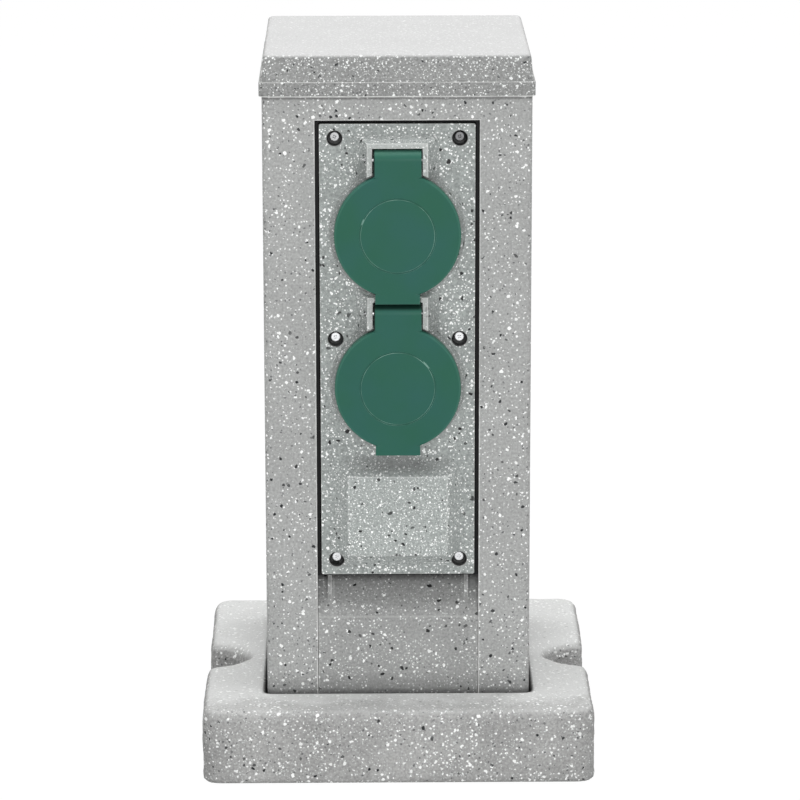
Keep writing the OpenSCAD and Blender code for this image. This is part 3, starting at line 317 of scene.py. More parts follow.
# %% The group that scatters chips
def make_chips():
    tree, given, out = new_group(
        "chips",
        [("Vector", "vector"), ("Cell", "number", 2.0), ("Share", "number", 0.3), ("Size", "number", 0.3),
         ("Seed", "number", 0.0)],
        [("Mask", "number")])
    seed_steps = (1, 1.7, 0.6)
    ripples_per_cell = 1.9
    unevenness = 0.5
    edge_softness = 0.1 * MM
    faint_part = 0.6
    faintest = 0.7
    smallest = 0.5
    grid = scaled(tree, given["Vector"], per_metre(tree, given["Cell"]))
    grid = vector_maths(tree, "ADD", grid, scaled(tree, seed_steps, given["Seed"]))
    ripple = node(tree, "ShaderNodeTexNoise", {"Vector": grid, "Scale": ripples_per_cell, "Detail": 1.0})
    wobble = vector_maths(tree, "SUBTRACT", ripple.outputs["Color"], (0.5, 0.5, 0.5))
    uneven = vector_maths(tree, "ADD", grid, scaled(tree, wobble, unevenness))
    points = node(tree, "ShaderNodeTexVoronoi", {"Vector": uneven, "Scale": 1.0}).outputs
    chance = node(tree, "ShaderNodeSeparateColor", {0: points["Color"]}).outputs
    chosen = maths(tree, "LESS_THAN", chance[0], given["Share"])
    radius = product(tree, given["Size"], ramp(tree, chance[1], 0, 1, smallest, 1))
    inside = maths(tree, "SUBTRACT", radius, points["Distance"])
    strength = product(tree, chosen, ramp(tree, chance[2], 0, faint_part, faintest, 1))
    sharpness = product(tree, given["Cell"], MM / edge_softness)
    solid = maths(tree, "MULTIPLY", inside, sharpness, clamp=True)
    plug(tree, out["Mask"], product(tree, strength, solid))
    return tree


CHIPS = make_chips()
print("group", CHIPS.name)

# %% [markdown]
# ## Mottle, grain and height bands
# Moulded plastic is never one flat tone. Three more small groups are shared by most materials: mottle makes
# broad soft patches, grain makes the fine texture of the mould as a bump, and band gives a soft mask
# between two heights, for dust and grime.


# %% The groups for mottle, grain and bands
def make_mottle():
    tree, given, out = new_group(
        "mottle",
        [("Vector", "vector"), ("Patch", "number", 20.0), ("Low", "number", 0.95), ("High", "number", 1.05)],
        [("Factor", "number")])
    usual_low = 0.32
    usual_high = 0.68
    value = noise(tree, given["Vector"], per_metre(tree, given["Patch"]), detail=3.0)
    plug(tree, out["Factor"], ramp(tree, value, usual_low, usual_high, given["Low"], given["High"]))
    return tree


def make_grain():
    tree, given, out = new_group(
        "grain",
        [("Vector", "vector"), ("Grain", "number", 0.6), ("Depth", "number", 0.02), ("Relief", "number", 0.0),
         ("Relief depth", "number", 0.02)],
        [("Normal", "vector")])
    fine = product(tree, noise(tree, given["Vector"], per_metre(tree, given["Grain"])), given["Depth"])
    height = maths(tree, "MULTIPLY_ADD", given["Relief"], given["Relief depth"], fine)
    bump = node(tree, "ShaderNodeBump", {"Strength": 1.0, "Distance": MM, "Height": height})
    plug(tree, out["Normal"], bump.outputs["Normal"])
    return tree


def make_band():
    tree, given, out = new_group(
        "band",
        [("Vector", "vector"), ("From", "number", 0.0), ("To", "number", 1.0), ("Ragged", "number", 0.0)],
        [("Mask", "number")])
    ripples_per_metre = 90.0
    ripple = maths(tree, "SUBTRACT", noise(tree, given["Vector"], ripples_per_metre), 0.5)
    moved = maths(tree, "MULTIPLY_ADD", ripple, given["Ragged"], in_mm(tree, given["Vector"])[2])
    plug(tree, out["Mask"], ramp(tree, moved, given["From"], given["To"]))
    return tree


MOTTLE = make_mottle()
GRAIN = make_grain()
BAND = make_band()
print("groups", MOTTLE.name, GRAIN.name, BAND.name)


# %% Short names for what the groups do
def clouds(tree, where, patch, low, high):
    """A factor that changes softly, in patches of a size in millimetres."""
    return place(tree, MOTTLE, Vector=where, Patch=patch, Low=low, High=high)["Factor"]


def above(tree, where, low, high, ragged=0.0):
    """0 under one height and 1 over another, in millimetres. ragged moves the border up and down."""
    return place(tree, BAND, Vector=where, From=low, To=high, Ragged=ragged)["Mask"]


def off_axis(tree, where, height):
    """How far a place lies from an axis along Y at a height, in millimetres."""
    x, _, z = in_mm(tree, where)
    flat = node(tree, "ShaderNodeCombineXYZ", {0: x, 1: maths(tree, "SUBTRACT", z, height)}).outputs[0]
    return node(tree, "ShaderNodeVectorMath", {0: flat}, operation="LENGTH").outputs["Value"]


def darker(tree, before, mask, depth=1.0):
    """Takes part of the light from a colour where the mask is 1."""
    return scaled(tree, before, rest_of(tree, product(tree, mask, depth)))


def worn_and_lit(tree, where, before, wear_and_highlight, patch, pale):
    """Makes the rounded edges paler, in patches of a size in millimetres: wear, and a painted highlight."""
    least_pale = 0.4
    pale_patches = clouds(tree, where, patch, wear_and_highlight * least_pale, wear_and_highlight)
    return mixed(tree, product(tree, marked(tree, "edge"), pale_patches), before, pale)


# %% [markdown]
# ## Speckled plastics
# Base, column, cap, apron and faceplate share one recipe and differ in their numbers: the ground colour,
# how dense the chips are, and how coarse the surface is. The recipe is a function, so each of them is a few
# lines. Edges that were rounded carry a mark called edge, and the material makes them a little paler: partly
# wear, as on real mouldings, and partly a painted highlight where they catch the light.

# %% The recipe
# A pale grey for worn edges, and for painted highlights on edges and on the apron's crease.
WORN_AND_LIT_GREY = screen(235, 236, 234)
BRIGHT = screen(250, 251, 250)
PALE = screen(240, 242, 241)
MID = screen(208, 211, 210)
SMOKE = screen(104, 105, 106)
DARK = screen(24, 26, 29)
BLACK = screen(10, 11, 12)
ground_grain_mm = 1.0
pale_patch_mm = 9.0
grey_specular = 0.35
rough_swing = 0.06


def start_material(name, rough, specular):
    """A new material with its shader and its place on the piece."""
    material = bpy.data.materials.new(name)
    material.use_nodes = True
    tree = material.node_tree
    shader = tree.nodes["Principled BSDF"]
    shader.inputs["Roughness"].default_value = rough
    shader.inputs["Specular IOR Level"].default_value = specular
    return material, tree, shader, place_on(tree)


def speckled(name, ground, chips, fine, painted_light_and_colour, wear_and_highlight=0.3, patch=(30, 0.96, 1.04), crowd=(14, 0.6, 1.4),
             rough=0.62, grain=(0.7, 0.03), richer=None):
    """chips is a list of (colour, cell in mm, share of cells, size in the cell, seed). crowd says how large
    the patches are where chips lie thin or thick, and fine is how strongly the ground itself is grained.
    richer gives a factor for places with more chips, and the function given as the fifth argument changes
    the colour at the end, with painted light and shade and some colour of the piece's own."""
    material, tree, shader, where = start_material(name, rough, grey_specular)
    tone = clouds(tree, where, *patch)
    dust = clouds(tree, where, ground_grain_mm, 1 - fine, 1 + fine)
    colour = scaled(tree, ground[:3], product(tree, tone, dust))
    thick = clouds(tree, where, *crowd)
    if richer:
        thick = product(tree, thick, richer(tree, where))
    raised = 0.0
    for chip_colour, cell, part, size, seed in chips:
        share = product(tree, thick, part)
        mask = place(tree, CHIPS, Vector=where, Cell=cell, Share=share, Size=size, Seed=seed)["Mask"]
        colour = mixed(tree, mask, colour, chip_colour)
        raised = maths(tree, "MAXIMUM", raised, mask)
    colour = worn_and_lit(tree, where, painted_light_and_colour(tree, where, colour), wear_and_highlight, pale_patch_mm, WORN_AND_LIT_GREY)
    plug(tree, shader.inputs["Base Color"], colour)
    roughness = ramp(tree, tone, *patch[1:], rough + rough_swing, rough - rough_swing)
    plug(tree, shader.inputs["Roughness"], roughness)
    normal = place(tree, GRAIN, Vector=where, Grain=grain[0], Depth=grain[1], Relief=raised)["Normal"]
    plug(tree, shader.inputs["Normal"], normal)
    return material


print("recipe ready")

# %% [markdown]
# ## The finishes of the grey pieces
# The column has few chips, the cap's front has many, and the plate is the densest, with the darkest chips.
# Painted light and shade come on top of that: upward faces are painted paler and show hardly any chips, the
# foot is darker, and painted shade lies under the faceplate, beside the hinges, round the lids, in the holes
# and in the screw pockets. Each of these is a short function that changes the colour where its mask is 1,
# with soft borders given in millimetres.

# %% Places on the pieces, in millimetres
base_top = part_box("base_block")[1].z / MM
cap_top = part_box("cap")[1].z / MM
lip_low = cap_top - 16.7
ramp_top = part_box("apron")[1].z / MM
ramp_seen = ramp_top - 2.5
crease_z = ramp_top - 17
rib_in = 26
rib_out = 29
rim_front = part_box("faceplate")[0].y / MM
plate_front = rim_front + 0.6
box_front = rim_front + 2.8
box_top = 124
housing_half = 12.2
collar_r = 25.4


def middle_height(name):
    """The height of a node's middle, in millimetres."""
    low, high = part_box(name)
    return (low.z + high.z) / 2 / MM


lid_heights = [middle_height("lid_seal_upper"), middle_height("lid_seal_lower")]
hinge_heights = [middle_height("hinge_pin_upper"), middle_height("hinge_pin_lower")]
print("lids at", [round(z, 1) for z in lid_heights], "hinges at", [round(z, 1) for z in hinge_heights])


# %% Painted light and shade on the cap, the column and the apron
def lit_cap_top(tree, where, before):
    """The cap's upper face is painted paler, as painted light from above, and hardly shows its chips."""
    cap_top_light = 0.74
    upper = above(tree, where, cap_top - 1.2, cap_top - 0.2)
    return mixed(tree, product(tree, upper, cap_top_light), before, screen(189, 189, 189))


def darker_foot(tree, where, before):
    """Darker towards the column's foot, and painted shade in the joint where it meets the base."""
    above_foot = above(tree, where, base_top - 0.5, base_top + 9, ragged=3.0)
    colour = darker(tree, before, rest_of(tree, above_foot), depth=0.38)
    # Painted shade in the joint with the base.
    out_of_joint = above(tree, where, base_top + 0.3, base_top + 1.8, ragged=1.0)
    return darker(tree, colour, rest_of(tree, out_of_joint), depth=0.35)


def shaded_column_ends(tree, where, before):
    """The column is darker at its foot, and painted shade darkens the joint under the cap's lip and the walls
    of its window.
    """
    # Painted shade in the joint under the cap's lip.
    joint = above(tree, where, lip_low - 1.6, lip_low - 0.7, ragged=0.6)
    colour = darker_foot(tree, where, darker(tree, before, joint, depth=0.55))
    # Painted shade on the walls of the window, in the gap round the faceplate.
    return darker(tree, colour, marked(tree, "hole"), depth=0.9)


def shaded_apron(tree, where, before):
    """The apron is darker at its foot, and painted shade darkens the ramp under the faceplate. The ramp's two
    ribs are painted lighter where they catch the light, and its crease gets a painted highlight."""
    crease_shine = 0.12
    ramp_shade = 0.24
    rib_light = -0.5
    rib_edge = 0.3
    x, _, z = in_mm(tree, where)
    # Painted highlight along the crease.
    crease = product(tree, ramp(tree, z, crease_z - 0.6, crease_z - 0.2),
                     fade(tree, z, crease_z + 0.1, crease_z + 0.5, start=crease_shine))
    colour = mixed(tree, crease, before, WORN_AND_LIT_GREY)
    off_middle = maths(tree, "ABSOLUTE", x)
    ribs = product(tree, ramp(tree, off_middle, rib_in, rib_in + rib_edge),
                   fade(tree, off_middle, rib_out - rib_edge, rib_out))
    # Painted shade on the ramp under the faceplate, and painted light on its two ribs.
    on_ramp = above(tree, where, ramp_top - 15, ramp_top - 1, ragged=2.0)
    colour = darker(tree, colour, on_ramp, maths(tree, "MULTIPLY_ADD", ribs, rib_light, ramp_shade))
    # Painted shade right under the faceplate's lower edge.
    under_plate = ramp(tree, z, ramp_seen - 2.4, ramp_seen - 0.4)
    return darker_foot(tree, where, darker(tree, colour, under_plate, depth=0.5))


# %% Painted light and shade on the plate and the stone
def on_box_face(tree, where):
    """1 on the raised box's flat face."""
    _, y, z = in_mm(tree, where)
    return product(tree, fade(tree, y, box_front + 0.4, box_front + 0.9), fade(tree, z, box_top, box_top + 1))


def more_on_box(tree, where):
    """The raised box's face holds twice as many chips."""
    return maths(tree, "ADD", 1.0, on_box_face(tree, where))


def shaded_plate(tree, where, before):
    """Painted shade lies in the sunk screw holes, beside the hinge housings, round the lids, and as the lower
    lid's shadow on the ledge under it. The housings' rims hold no chips, and the raised box's face is paler."""
    rim_cover = 0.4
    box_gain = 0.17
    x, y, z = in_mm(tree, where)
    off_middle = maths(tree, "ABSOLUTE", x)
    rims = fade(tree, y, plate_front - 0.25, plate_front, start=rim_cover)
    colour = mixed(tree, rims, before, screen(200, 204, 201))
    colour = scaled(tree, colour, maths(tree, "MULTIPLY_ADD", on_box_face(tree, where), box_gain, 1.0))
    beside = fade(tree, off_middle, housing_half, housing_half + 7.8)
    behind_rims = ramp(tree, y, plate_front - 0.1, plate_front + 0.3)
    for lid_z, hinge_z in zip(lid_heights, hinge_heights):
        rise = maths(tree, "SUBTRACT", z, hinge_z)
        # Painted shade on the slopes beside the hinge housing.
        slope = product(tree, fade(tree, rise, -12, 6), ramp(tree, rise, -20, -13))
        colour = darker(tree, colour, product(tree, beside, slope, behind_rims), depth=0.5)
        # Painted shade in a ring round the lid.
        ring = fade(tree, off_axis(tree, where, lid_z), collar_r, collar_r + 2.2)
        colour = darker(tree, colour, product(tree, ring, behind_rims), depth=0.25)
    # Painted shadow of the lower lid on the raised box's upper slope.
    ledge = product(tree, ramp(tree, z, box_top + 0.4, box_top + 3.5),
                    fade(tree, z, box_top + 5, box_top + 9.5), fade(tree, off_middle, 8, 25))
    colour = darker(tree, colour, ledge, depth=0.55)
    # Painted shade in the sunk screw holes.
    return darker(tree, colour, marked(tree, "hole"), depth=0.93)


def lit_and_shaded_stone(tree, where, before):
    """The stone's upper face is painted paler, as painted light, most of all behind the column's front. Its
    sides are painted darker towards their ends and in its pockets, as painted shade."""
    top_light_front = 0.25
    top_light_back = 0.64
    x, y, _ = in_mm(tree, where)
    # Painted light on the upward faces, less of it towards the front.
    top = marked(tree, "top")
    depth = maths(tree, "ADD", y, clouds(tree, where, 12.0, -6.0, 6.0))
    stone_top_light = ramp(tree, depth, -72, -60, top_light_front, top_light_back)
    colour = mixed(tree, product(tree, top, stone_top_light), before, screen(221, 222, 221))
    # Painted shade towards the ends of the sides, and in the pockets.
    ends = product(tree, ramp(tree, maths(tree, "ABSOLUTE", x), 58, 78), rest_of(tree, top))
    return darker(tree, darker(tree, colour, ends, depth=0.16), marked(tree, "pocket"), depth=0.28)


# %% Column, cap, apron, plate and stone
COLUMN = speckled(
    "column_granite", screen(162, 163, 162),
    [(MID, 1.0, 0.7, 0.36, 3.1), (BRIGHT, 1.6, 0.65, 0.33, 8.4), (BRIGHT, 3.0, 0.35, 0.27, 2.2),
     (SMOKE, 2.0, 0.45, 0.28, 6.8), (DARK, 3.4, 0.65, 0.21, 5.2)],
    fine=0.2, painted_light_and_colour=shaded_column_ends, wear_and_highlight=0.8)
CAP = speckled(
    "cap_granite", screen(138, 139, 138),
    [(MID, 0.9, 0.9, 0.38, 2.1), (PALE, 1.3, 0.9, 0.36, 6.4), (PALE, 2.6, 0.4, 0.28, 1.7),
     (SMOKE, 1.8, 0.5, 0.3, 6.1), (DARK, 3.4, 0.55, 0.18, 9.2)],
    fine=0.24, painted_light_and_colour=lit_cap_top, wear_and_highlight=1.0)
APRON = speckled(
    "apron_granite", screen(150, 151, 150),
    [(MID, 1.0, 0.7, 0.36, 4.1), (BRIGHT, 1.6, 0.42, 0.32, 1.4), (BRIGHT, 3.0, 0.25, 0.26, 9.9),
     (SMOKE, 2.0, 0.4, 0.26, 3.8), (BLACK, 4.0, 0.8, 0.22, 7.2)],
    fine=0.2, painted_light_and_colour=shaded_apron, wear_and_highlight=0.5)
PLATE = speckled(
    "plate_granite", screen(148, 153, 151),
    [(MID, 0.85, 0.8, 0.4, 5.3), (BRIGHT, 1.25, 0.95, 0.36, 2.7), (BRIGHT, 2.1, 0.4, 0.31, 7.9),
     (DARK, 4.0, 0.6, 0.15, 4.4), (BLACK, 4.6, 0.7, 0.21, 9.6)],
    fine=0.26, painted_light_and_colour=shaded_plate, wear_and_highlight=0.5, crowd=(9, 0.5, 1.4), rough=0.5, grain=(0.5, 0.015),
    richer=more_on_box)
STONE = speckled(
    "cast_stone", screen(164, 164, 163),
    [(MID, 1.0, 0.7, 0.38, 9.3), (BRIGHT, 1.7, 0.55, 0.36, 3.9), (BRIGHT, 3.0, 0.42, 0.29, 5.5),
     (SMOKE, 1.9, 0.35, 0.28, 2.9), (DARK, 3.6, 0.5, 0.2, 6.6)],
    fine=0.22, painted_light_and_colour=lit_and_shaded_stone, patch=(24, 0.86, 1.06), rough=0.75, grain=(1.1, 0.12))
print("speckled", [m.name for m in (COLUMN, CAP, APRON, PLATE, STONE)])

# %% [markdown]
# ## The green lids, rubber, black plastic and metals
# The lids are plain green plastic with a satin skin: fine grain, faint clouds, and paler edges, partly wear
# and partly a painted highlight. The inner pieces matter when a lid is open or the post is seen from below.
# Rubber is dull, black plastic a little glossy, steel has fine brushing and brass some tarnish.


# %% One recipe for the smooth finishes
def smooth_finish(name, colour, second, patch, rough, grain, metallic=0.0, wear_and_highlight=0.0, specular=0.5,
                  stretch=(1, 1, 1), painted_light_and_colour=None):
    """A finish that goes between two colours in soft patches. stretch draws its grain out along an axis."""
    edge_patch_mm = 7.0
    swing = 0.05
    material, tree, shader, where = start_material(name, rough, specular)
    cloud = clouds(tree, where, patch, 0.0, 1.0)
    tint = mixed(tree, cloud, screen(*colour), screen(*second))
    tint = worn_and_lit(tree, where, tint, wear_and_highlight, edge_patch_mm, screen(190, 205, 200))
    # A last function paints light and shade on top, with some colour of the piece's own.
    if painted_light_and_colour:
        tint = painted_light_and_colour(tree, where, tint)
    plug(tree, shader.inputs["Base Color"], tint)
    plug(tree, shader.inputs["Roughness"], ramp(tree, cloud, 0, 1, rough - swing, rough + swing))
    shader.inputs["Metallic"].default_value = metallic
    drawn = node(tree, "ShaderNodeMapping", {"Vector": where, "Scale": stretch}).outputs[0]
    normal = place(tree, GRAIN, Vector=drawn, Grain=grain[0], Depth=grain[1])["Normal"]
    plug(tree, shader.inputs["Normal"], normal)
    return material


# %% Painted highlights and shade on the lids, the pins and the screws
# The green of the painted highlights on the lids.
HIGHLIGHT_GREEN = screen(110, 158, 140)
lid_r = 25.3
tongue_half = 9.15


def lit_and_shaded_lid(tree, where, before):
    """The lid's rim, its moulded circle and the upper tongue's crown get painted highlights, and patches of
    it have turned a little blue. Painted shade darkens the tongue's left side, in the gap beside it, and a
    painted shadow of the upper lid's tab lies on the lower tongue."""
    x, _, z = in_mm(tree, where)
    upper_hinge, lower_hinge = hinge_heights
    radius = maths(tree, "MINIMUM", *[off_axis(tree, where, height) for height in lid_heights])
    colour = mixed(tree, clouds(tree, where, 22.0, 0.0, 0.5), before, screen(46, 93, 92))
    # Painted highlight on the rim, away from the tongue.
    rim = ramp(tree, radius, lid_r - 0.9, lid_r - 0.4, 0, 0.14)
    beside_tongue = ramp(tree, maths(tree, "ABSOLUTE", x), 10, 14)
    colour = mixed(tree, product(tree, rim, beside_tongue), colour, HIGHLIGHT_GREEN)
    # Painted highlight on the upper tongue's crown.
    colour = mixed(tree, ramp(tree, z, upper_hinge + 1.5, upper_hinge + 3.5, 0, 0.2), colour, HIGHLIGHT_GREEN)
    # Painted shadow of the upper lid's tab on the lower tongue.
    tab_shadow = product(tree, ramp(tree, z, lower_hinge + 1.8, lower_hinge + 2.8),
                     fade(tree, z, lower_hinge + 4.05, lower_hinge + 4.15, start=0.75))
    colour = darker(tree, colour, tab_shadow)
    # Painted shade in the gap on the tongue's left side.
    gap_shade = product(tree, fade(tree, x, -tongue_half, 0.15 - tongue_half, start=0.85),
                       ramp(tree, radius, lid_r + 0.3, lid_r + 0.7))
    colour = darker(tree, colour, gap_shade)
    # Painted highlight on the moulded circle.
    line = product(tree, marked(tree, "line"), clouds(tree, where, 6.0, 0.1, 0.9))
    return mixed(tree, line, colour, screen(146, 184, 172))


def shaded_pin_ends(tree, where, before):
    """A hinge pin keeps its bright steel only where it shows in the gap on the left, and is painted darker
    elsewhere, as painted shade.
    """
    x = in_mm(tree, where)[0]
    bright = product(tree, ramp(tree, x, -11, -10.6), fade(tree, x, -9, -8))
    return darker(tree, before, rest_of(tree, bright), depth=0.75)


def shaded_upper_screws(tree, where, before):
    """The two upper screws of the faceplate are painted darker, as painted shade, the right one most."""
    shade_left = 0.42
    shade_right = 0.76
    x, _, z = in_mm(tree, where)
    upper = ramp(tree, z, lid_heights[0], lid_heights[0] + 10)
    return darker(tree, before, product(tree, upper, ramp(tree, x, -5, 5, shade_left, shade_right)))


# %% The smooth finishes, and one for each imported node
METAL = {"metallic": 1.0, "stretch": (1, 1, 6)}
STEEL = ((200, 201, 203), (215, 216, 217), 5, 0.3, (0.25, 0.01))
LID_GREEN = smooth_finish("lid_green", (40, 93, 74), (43, 95, 78), 16, 0.45, (0.45, 0.012), wear_and_highlight=0.12,
                          specular=0.12, painted_light_and_colour=lit_and_shaded_lid)
PIN_STEEL = smooth_finish("pin_steel", *STEEL, painted_light_and_colour=shaded_pin_ends, **METAL)
SCREW_ZINC = smooth_finish("screw_zinc", (224, 225, 227), (232, 233, 234), 5, 0.5, (0.25, 0.01),
                           painted_light_and_colour=shaded_upper_screws, **METAL)
FINISHES = {
    "column_plastic": COLUMN,
    "stone_plastic": STONE,
    "apron_plastic": APRON,
    "plate_plastic": PLATE,
    "lid_plastic": LID_GREEN,
    "black_plastic": smooth_finish("black_plastic", (19, 19, 20), (25, 25, 26), 12, 0.55, (0.6, 0.02),
                                   specular=0.2),
    "black_rubber": smooth_finish("black_rubber", (12, 12, 12), (18, 18, 18), 8, 0.85, (0.5, 0.04),
                                  specular=0.08),
    "terminal_plastic": smooth_finish("terminal_white", (222, 221, 212), (229, 228, 221), 9, 0.5,
                                      (0.6, 0.01)),
    "steel": smooth_finish("bright_steel", *STEEL, **METAL),
    "brass": smooth_finish("contact_brass", (196, 164, 98), (172, 138, 78), 4, 0.34, (0.3, 0.01),
                           metallic=1.0, stretch=(1, 5, 1)),
    "wire_brown": smooth_finish("wire_brown", (96, 56, 32), (104, 62, 38), 6, 0.5, (0.5, 0.01)),
    "wire_blue": smooth_finish("wire_blue", (40, 78, 150), (46, 85, 158), 6, 0.5, (0.5, 0.01)),
    "wire_green": smooth_finish("wire_green", (70, 142, 58), (206, 196, 60), 5, 0.5, (0.5, 0.01)),
}
for name, obj in frame["nodes"].items():
    obj.data.materials.clear()
    obj.data.materials.append(PIN_STEEL if name.startswith("hinge_pin") else FINISHES[slot_of[name]])
print("finishes", len(FINISHES))

# %% [markdown]
# ## Edges that catch the light
# A solid's edges are perfectly sharp, and no moulding has such edges. The column, cap, apron, faceplate and
# lids keep their imported shape, so the quickest true way is to round the edges of a copy: its doubles are
# merged, its flat faces are joined into one each, and every edge sharper than an angle gets a small bevel.
# The bevel's faces are marked, so that the material can paint them paler, as wear and as a painted
# highlight, and weighted normals keep the flat faces flat.


# %% Copy a imported node
def welded_copy(source):
    """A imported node's mesh as one closed skin."""
    weld = 0.001 * MM
    form = bmesh.new()
    form.from_mesh(frame["nodes"][source].data)
    bmesh.ops.remove_doubles(form, verts=form.verts, dist=weld)
    return form


def loose_parts(source):
    """Corner points of each separate solid, in millimetres and in the order of the mesh."""
    form = welded_copy(source)
    seen = set()
    found = []
    for start in form.verts:
        queue = [] if start in seen else [start]
        points = []
        while queue:
            vert = queue.pop()
            if vert not in seen:
                seen.add(vert)
                points.append(vert.co / MM)
                queue += [edge.other_vert(vert) for edge in vert.link_edges]
        if points:
            found.append(np.array(points))
    form.free()
    return found


def middle_of(points):
    """The middle of the box round some points."""
    return (points.max(axis=0) + points.min(axis=0)) / 2


def new_piece(name, form, material):
    """Turns a bmesh into an object at the origin."""
    mesh = bpy.data.meshes.new(name)
    form.to_mesh(mesh)
    form.free()
    mesh.materials.append(material)
    piece = bpy.data.objects.new(name, mesh)
    bpy.context.scene.collection.objects.link(piece)
    return piece


def settled(piece):
    """Applies a piece's modifiers to its mesh."""
    result = bpy.data.meshes.new_from_object(piece.evaluated_get(bpy.context.evaluated_depsgraph_get()))
    piece.modifiers.clear()
    piece.data = result
    return piece


# %% Round its edges
def softened(source, name, width, material, wear_and_highlight_at, marks, sharp):
    """A copy of a node. Its outer edges that are sharper than an angle in degrees are rounded by a width in
    millimetres. The function given as its fifth argument gives how much paler an edge is painted at a place,
    as wear and as a painted highlight, and marks has a test for each further mark: it is set where a face's
    middle and all its corners pass."""
    flat_angle = 0.5
    bevel_steps = 2
    largest_faces_first = 100
    form = welded_copy(source)
    bmesh.ops.dissolve_limit(form, angle_limit=math.radians(flat_angle), verts=form.verts, edges=form.edges)
    edges = [e for e in form.edges if e.is_convex and e.calc_face_angle(0) > math.radians(sharp)]
    mark = form.faces.layers.float.new("edge")
    made = bmesh.ops.bevel(form, geom=edges, offset=width * MM, offset_type="OFFSET", segments=bevel_steps,
                           profile=0.5, affect="EDGES", clamp_overlap=False)
    for face in made["faces"]:
        face[mark] = wear_and_highlight_at(face.calc_center_median() / MM)
    for name_of_mark, passes in marks.items():
        layer = form.faces.layers.float.new(name_of_mark)
        for face in form.faces:
            places = [face.calc_center_median()] + [vert.co for vert in face.verts]
            face[layer] = float(all(passes(at / MM) for at in places))
    for face in form.faces:
        face.smooth = True
        face.material_index = 0
    piece = new_piece(name, form, material)
    weighted = piece.modifiers.new("flat_faces", "WEIGHTED_NORMAL")
    weighted.mode = "FACE_AREA"
    weighted.weight = largest_faces_first
    settled(piece)
    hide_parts(source)
    print(name, len(edges), "edges rounded,", len(piece.data.polygons), "faces")
    return piece


# %% Where edges are painted paler, and which faces lie in a hole or a line
window_half = 34
window_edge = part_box("apron")[1].x / MM + 0.2
wall_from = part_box("column")[0].y / MM + 0.38
plate_screws = [middle_of(part) for part in loose_parts("faceplate_screws")]
hole_r = 3.35
cone_r = 29
slope_half_width = 19
slope_half_height = 12
line_r = (14.6, 15.4)
lid_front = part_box("lid_upper")[0].y / MM


def column_wear_and_highlight(at):
    """The window's edges get a stronger pale edge than the outer ones, as wear and a painted highlight."""
    return 1.0 if abs(at.x) < window_half else 0.35


def in_window(at):
    """On the walls of the column's window, which painted shade darkens as the gap round the faceplate."""
    return abs(at.x) < window_edge and at.y > wall_from


def cap_wear_and_highlight(at):
    """The lip's lower edge gets the palest edge, as wear and a painted highlight."""
    return 1.0 if at.z < lip_low + 1 else 0.35


def near_lid(at):
    """Distance from the nearer lid's axis."""
    return min(math.hypot(at.x, at.z - height) for height in lid_heights)


def plate_wear_and_highlight(at):
    """The plate's front edges are palest, as wear and a painted highlight; the collars under the lids and the
    slopes beside the hinges get no pale edge.
    """
    above_hinge = min(abs(at.z - height) for height in hinge_heights)
    no_pale_edge = near_lid(at) < cone_r or abs(at.x) < slope_half_width and above_hinge < slope_half_height
    if at.y < rim_front + 1:
        return 1.0
    return 0.0 if no_pale_edge else 0.8


def in_hole(at):
    """Inside the sunk hole of a faceplate screw."""
    return min(math.hypot(at.x - x, at.z - z) for x, _, z in plate_screws) < hole_r


def on_line(at):
    """On the moulded circle of a lid."""
    return line_r[0] < near_lid(at) < line_r[1]


def lid_wear_and_highlight(at):
    """All edges but those of the moulded circle are painted paler, as wear and a painted highlight."""
    by_line = abs(at.y - lid_front) < 0.5 and near_lid(at) < 20
    return 0.0 if on_line(at) or by_line else 1.0


for source, name, width, material, wear_and_highlight_at, marks, sharp in (
        ("column", "column_tube", 0.4, COLUMN, column_wear_and_highlight, {"hole": in_window}, 30),
        ("cap", "cap_block", 0.35, CAP, cap_wear_and_highlight, {}, 30),
        ("apron", "apron_panel", 0.3, APRON, lambda at: 0.5, {}, 60),
        ("faceplate", "face_plate", 0.2, PLATE, plate_wear_and_highlight, {"hole": in_hole}, 30),
        ("lid_upper", "lid_upper_cover", 0.14, LID_GREEN, lid_wear_and_highlight, {"line": on_line}, 30),
        ("lid_lower", "lid_lower_cover", 0.14, LID_GREEN, lid_wear_and_highlight, {"line": on_line}, 30)):
    piece = softened(source, name, width, material, wear_and_highlight_at, marks, sharp)
    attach(piece, source if source.startswith("lid") else "post")

# %% [markdown]
# ## The stone-look base
# The base imitates rough cast stone: its faces swell and dip by about a millimetre, and its edges are soft.
# A grid of even triangles is needed before it can be shaped, so a copy is remeshed first. Geometry Nodes
# then push each point in along its normal by two sizes of noise. A mark called skin keeps the recess, the
# inner walls and the foot as they are, and two more marks tell the material which points lie on top and
# which in a screw pocket. The surface only moves inwards, so the base keeps its real size.


